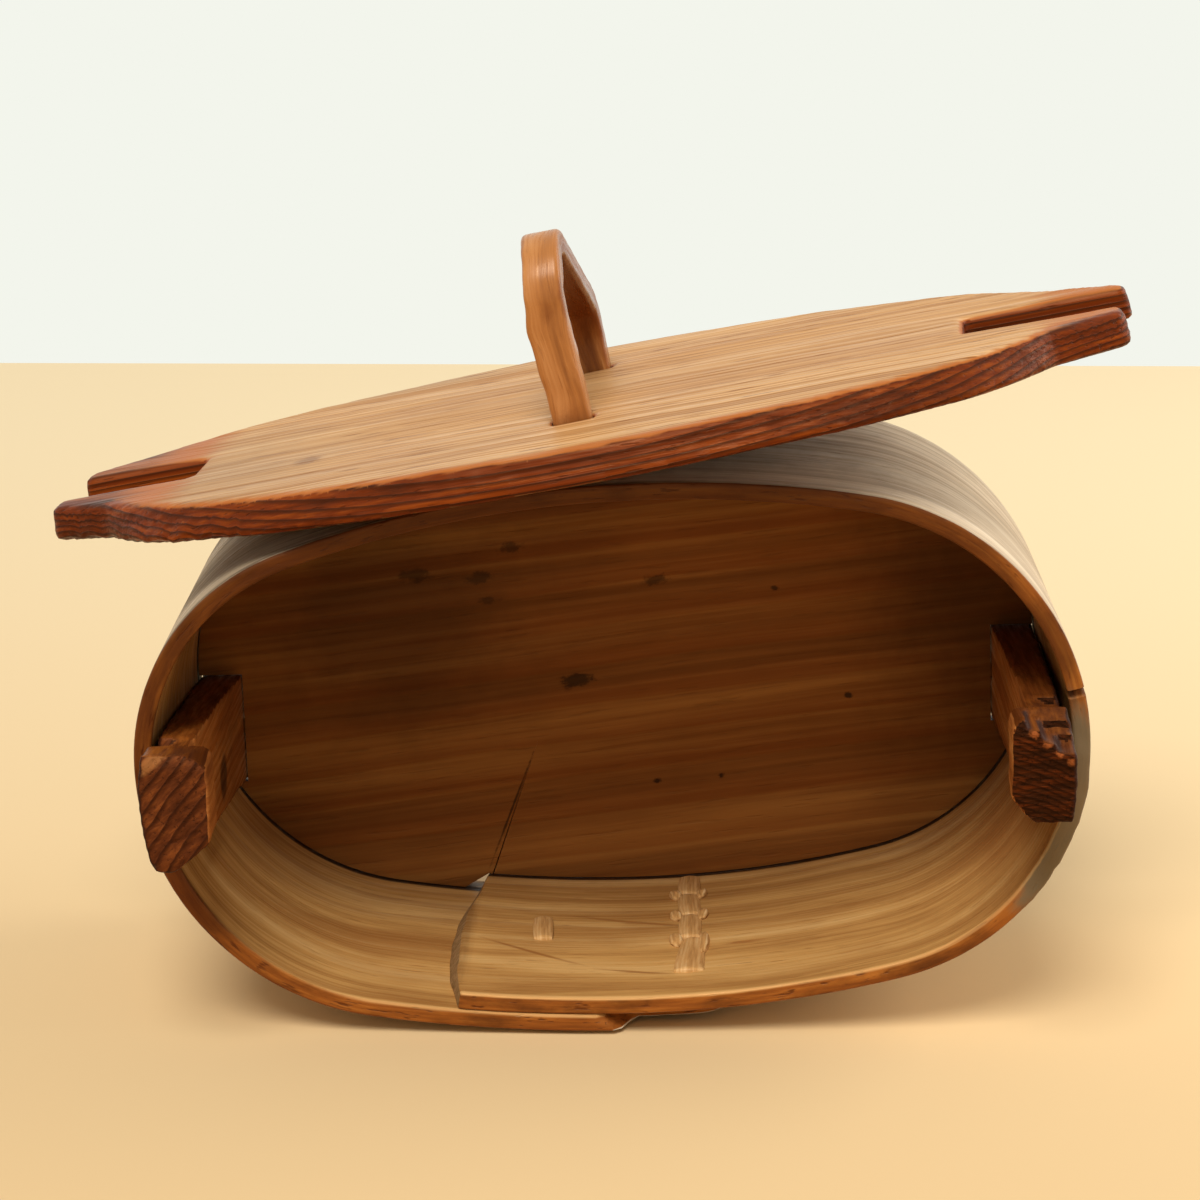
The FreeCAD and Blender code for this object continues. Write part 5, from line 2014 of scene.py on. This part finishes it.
        def shape(point: Vector) -> Vector:
            """Swell the round form unevenly and press it on the lap.

            Args:
                point: A point of the sphere.

            Returns:
                Its place in the box's own millimetres.
            """
            swell = 1 + 0.22 * noise.noise(point * 1.7 + Vector((depth, side.value, 0)))
            x = middle + point.x * reach[0] * swell + side.value * 0.5 * point.y
            top = self.surface(x, False) + self.face_gap
            return Vector((x, depth + point.y * reach[1] * swell, top + max(point.z, -0.35) * reach[2] * swell))

        Hand.move_points(lump, shape)
        return lump

    def finish(self, pieces: Sequence[bpy.types.Object], name: str, node: str,
               wood: bpy.types.Material) -> bpy.types.Object:
        """Join, place and dress one group of straps.

        Args:
            pieces: The straps and lumps.
            name: Name of the group.
            node: The node that it replaces.
            wood: Its material.

        Returns:
            The finished group.
        """
        joined = Hand.join(pieces, name)
        Hand.move_points(joined, lambda p: self.place.out(p * MM))
        Hand.tidy_normals(joined)
        Hand.shade(joined, 60)
        Hand.dress(joined, (wood,))
        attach(joined, "box")
        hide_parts(node)
        return joined

    def build(self) -> list[bpy.types.Object]:
        """Make the row and the single stitch.

        Returns:
            Both groups.
        """
        root = wood_material(Wood("split_root", "ecc68c", "c8965a", "855528", band_scale=(30.0, 500.0, 500.0),
                                  fibre_scale=(60.0, 1500.0, 1500.0), fibre_share=0.4, contrast=0.35, pores=0.2,
                                  blotch=0.4, blotch_colour="6e4422", rough=0.42, coat=0.1, bump=0.5))
        deep = BandSizes.DEPTH - BandSizes.BASE - self.base_gap
        row = []
        for order, (far, near, skew) in enumerate(zip(self.shares, self.shares[1:], self.skews)):
            row.append(self.strap(f"strap_{order}", self.shift, self.width, near * deep + self.end_gap,
                                  far * deep - self.end_gap, skew))
        for order, (joint, along, side, reach) in enumerate(self.lumps):
            row.append(self.lump(f"lump_{order}", self.shift, self.shares[joint] * deep + along, side, reach))
        lashing = self.finish(row, "root_row", "root_lashing", root)
        single = [self.strap("single", self.single_shift, self.single_width, self.single[1] * deep,
                             self.single[0] * deep, -0.5)]
        return [lashing, self.finish(single, "root_single", "root_stitch", root)]


@dataclass
class Studio:
    """Floor, backdrop, lamps and camera."""

    place: BoxFrame
    lens: float = 108.0
    pitch: float = 14.4132
    yaw: float = -0.8585
    stand: Point = (11.427, -971.458, 295.571)
    floor_end: float = 0.98
    floor_size: Span = (7.0, 4.0)
    aim: Point = (0.0, 0.0, 0.06)
    sky: float = 0.42

    def build(self) -> None:
        """Make the whole studio."""
        self.stage()
        self.lamps()
        self.camera()

    def stage(self) -> None:
        """Plain pale floor that ends before the even backdrop."""
        Hand.clear()
        bpy.ops.mesh.primitive_plane_add(size=1, location=(0, 0, 0))
        floor = bpy.context.object
        floor.name = "floor"
        Hand.edit(floor, "EDGE")
        bpy.ops.mesh.select_all(action="SELECT")
        bpy.ops.transform.resize(value=(*self.floor_size, 1.0))
        bpy.ops.transform.translate(value=(0, self.floor_end - self.floor_size[1] / 2, 0))
        Hand.close()
        shader = Shader("pale_floor")
        split = shader.node("ShaderNodeSeparateXYZ")
        shader.link(shader.node("ShaderNodeTexCoord").outputs["Object"], split.inputs[0])
        colour = shader.mixed(shader.spread(split.outputs["Y"], -0.5, 0.9), tone("dbb986"), tone("dfcba4"))
        shader.link(colour, shader.surface.inputs["Base Color"])
        shader.surface.inputs["Roughness"].default_value = 0.85
        shader.surface.inputs["Specular IOR Level"].default_value = 0.1
        floor.data.materials.append(shader.material)

    def lamps(self) -> None:
        """Soft lamp high in front on the left, a weaker one on the right, and an even sky."""
        for name, kind, spot, size, power in (
            ("key", "SUN", (-0.22, -0.85, 1.3), 0.5, 2.75),
            ("side", "AREA", (1.2, 0.3, 0.75), 1.1, 10.0),
        ):
            lamp = bpy.data.lights.new(name, kind)
            if kind == "SUN":
                lamp.angle = size
            else:
                lamp.shape = "DISK"
                lamp.size = size
            lamp.energy = power
            lamp.color = (1.0, 0.98, 0.95)
            holder = bpy.data.objects.new(name, lamp)
            holder.location = spot
            holder.rotation_euler = (Vector(self.aim) - Vector(spot)).to_track_quat("-Z", "Y").to_euler()
            bpy.context.scene.collection.objects.link(holder)
        world = bpy.data.worlds.new("even_sky")
        bpy.context.scene.world = world
        world.use_nodes = True
        nodes, links = world.node_tree.nodes, world.node_tree.links
        light = nodes["Background"]
        light.inputs["Color"].default_value = (1.0, 0.985, 0.96, 1.0)
        light.inputs["Strength"].default_value = self.sky
        seen = nodes.new("ShaderNodeBackground")
        seen.inputs["Color"].default_value = tone("f3f5ec")
        seen.inputs["Strength"].default_value = 1.0
        rays = nodes.new("ShaderNodeLightPath")
        share = rays.outputs["Is Camera Ray"]
        for kind in ("Is Glossy Ray", "Is Transmission Ray"):
            either = nodes.new("ShaderNodeMath")
            either.operation = "MAXIMUM"
            links.new(share, either.inputs[0])
            links.new(rays.outputs[kind], either.inputs[1])
            share = either.outputs[0]
        mix = nodes.new("ShaderNodeMixShader")
        links.new(share, mix.inputs["Fac"])
        links.new(light.outputs["Background"], mix.inputs[1])
        links.new(seen.outputs["Background"], mix.inputs[2])
        links.new(mix.outputs["Shader"], nodes["World Output"].inputs["Surface"])

    def camera(self) -> None:
        """Camera at the picture's own place and lens."""
        camera = bpy.data.cameras.new("camera")
        camera.lens = self.lens
        camera.sensor_width = 36.0
        camera.sensor_fit = "HORIZONTAL"
        camera.clip_start = 0.05
        holder = bpy.data.objects.new("camera", camera)
        holder.location = self.place.middle + Vector(self.stand) * MM
        pitch, yaw = math.radians(self.pitch), math.radians(self.yaw)
        look = Vector((math.sin(yaw) * math.cos(pitch), math.cos(yaw) * math.cos(pitch), -math.sin(pitch)))
        holder.rotation_euler = look.to_track_quat("-Z", "Y").to_euler()
        bpy.context.scene.collection.objects.link(holder)
        bpy.context.scene.camera = holder
        bpy.context.scene.view_settings.view_transform = "Standard"


def main() -> None:
    """Build every piece in order and report each one."""
    noise.seed_set(SEED)
    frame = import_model()
    nodes = frame["nodes"]
    place = BoxFrame.read(frame)
    Studio(place).build()
    LOG.info("studio ready")
    band = Band(place)
    report(band.build())
    lid_place = LidFrame.read(nodes["lid_board"])
    report(Lid(lid_place).build(nodes["lid_board"]))
    report(Bow(lid_place).build())
    for name, side in (("post_left", Side.LEFT), ("post_right", Side.RIGHT)):
        report(Posts(place).build_post(nodes[name], side))
    for group in RootSewing(place, band).build():
        report(group)
    Base(place).dress(nodes["base_board"])
    report(nodes["base_board"])
    peg = wood_material(Wood("split_peg", "b58653", "8f6237", "5c3a1c", source=Source.OBJECT))
    for name in ("base_pegs", "post_peg_left", "post_peg_right", "handle_wedges"):
        Hand.dress(nodes[name], (peg,))
        report(nodes[name])


if __name__ == "__main__":
    main()
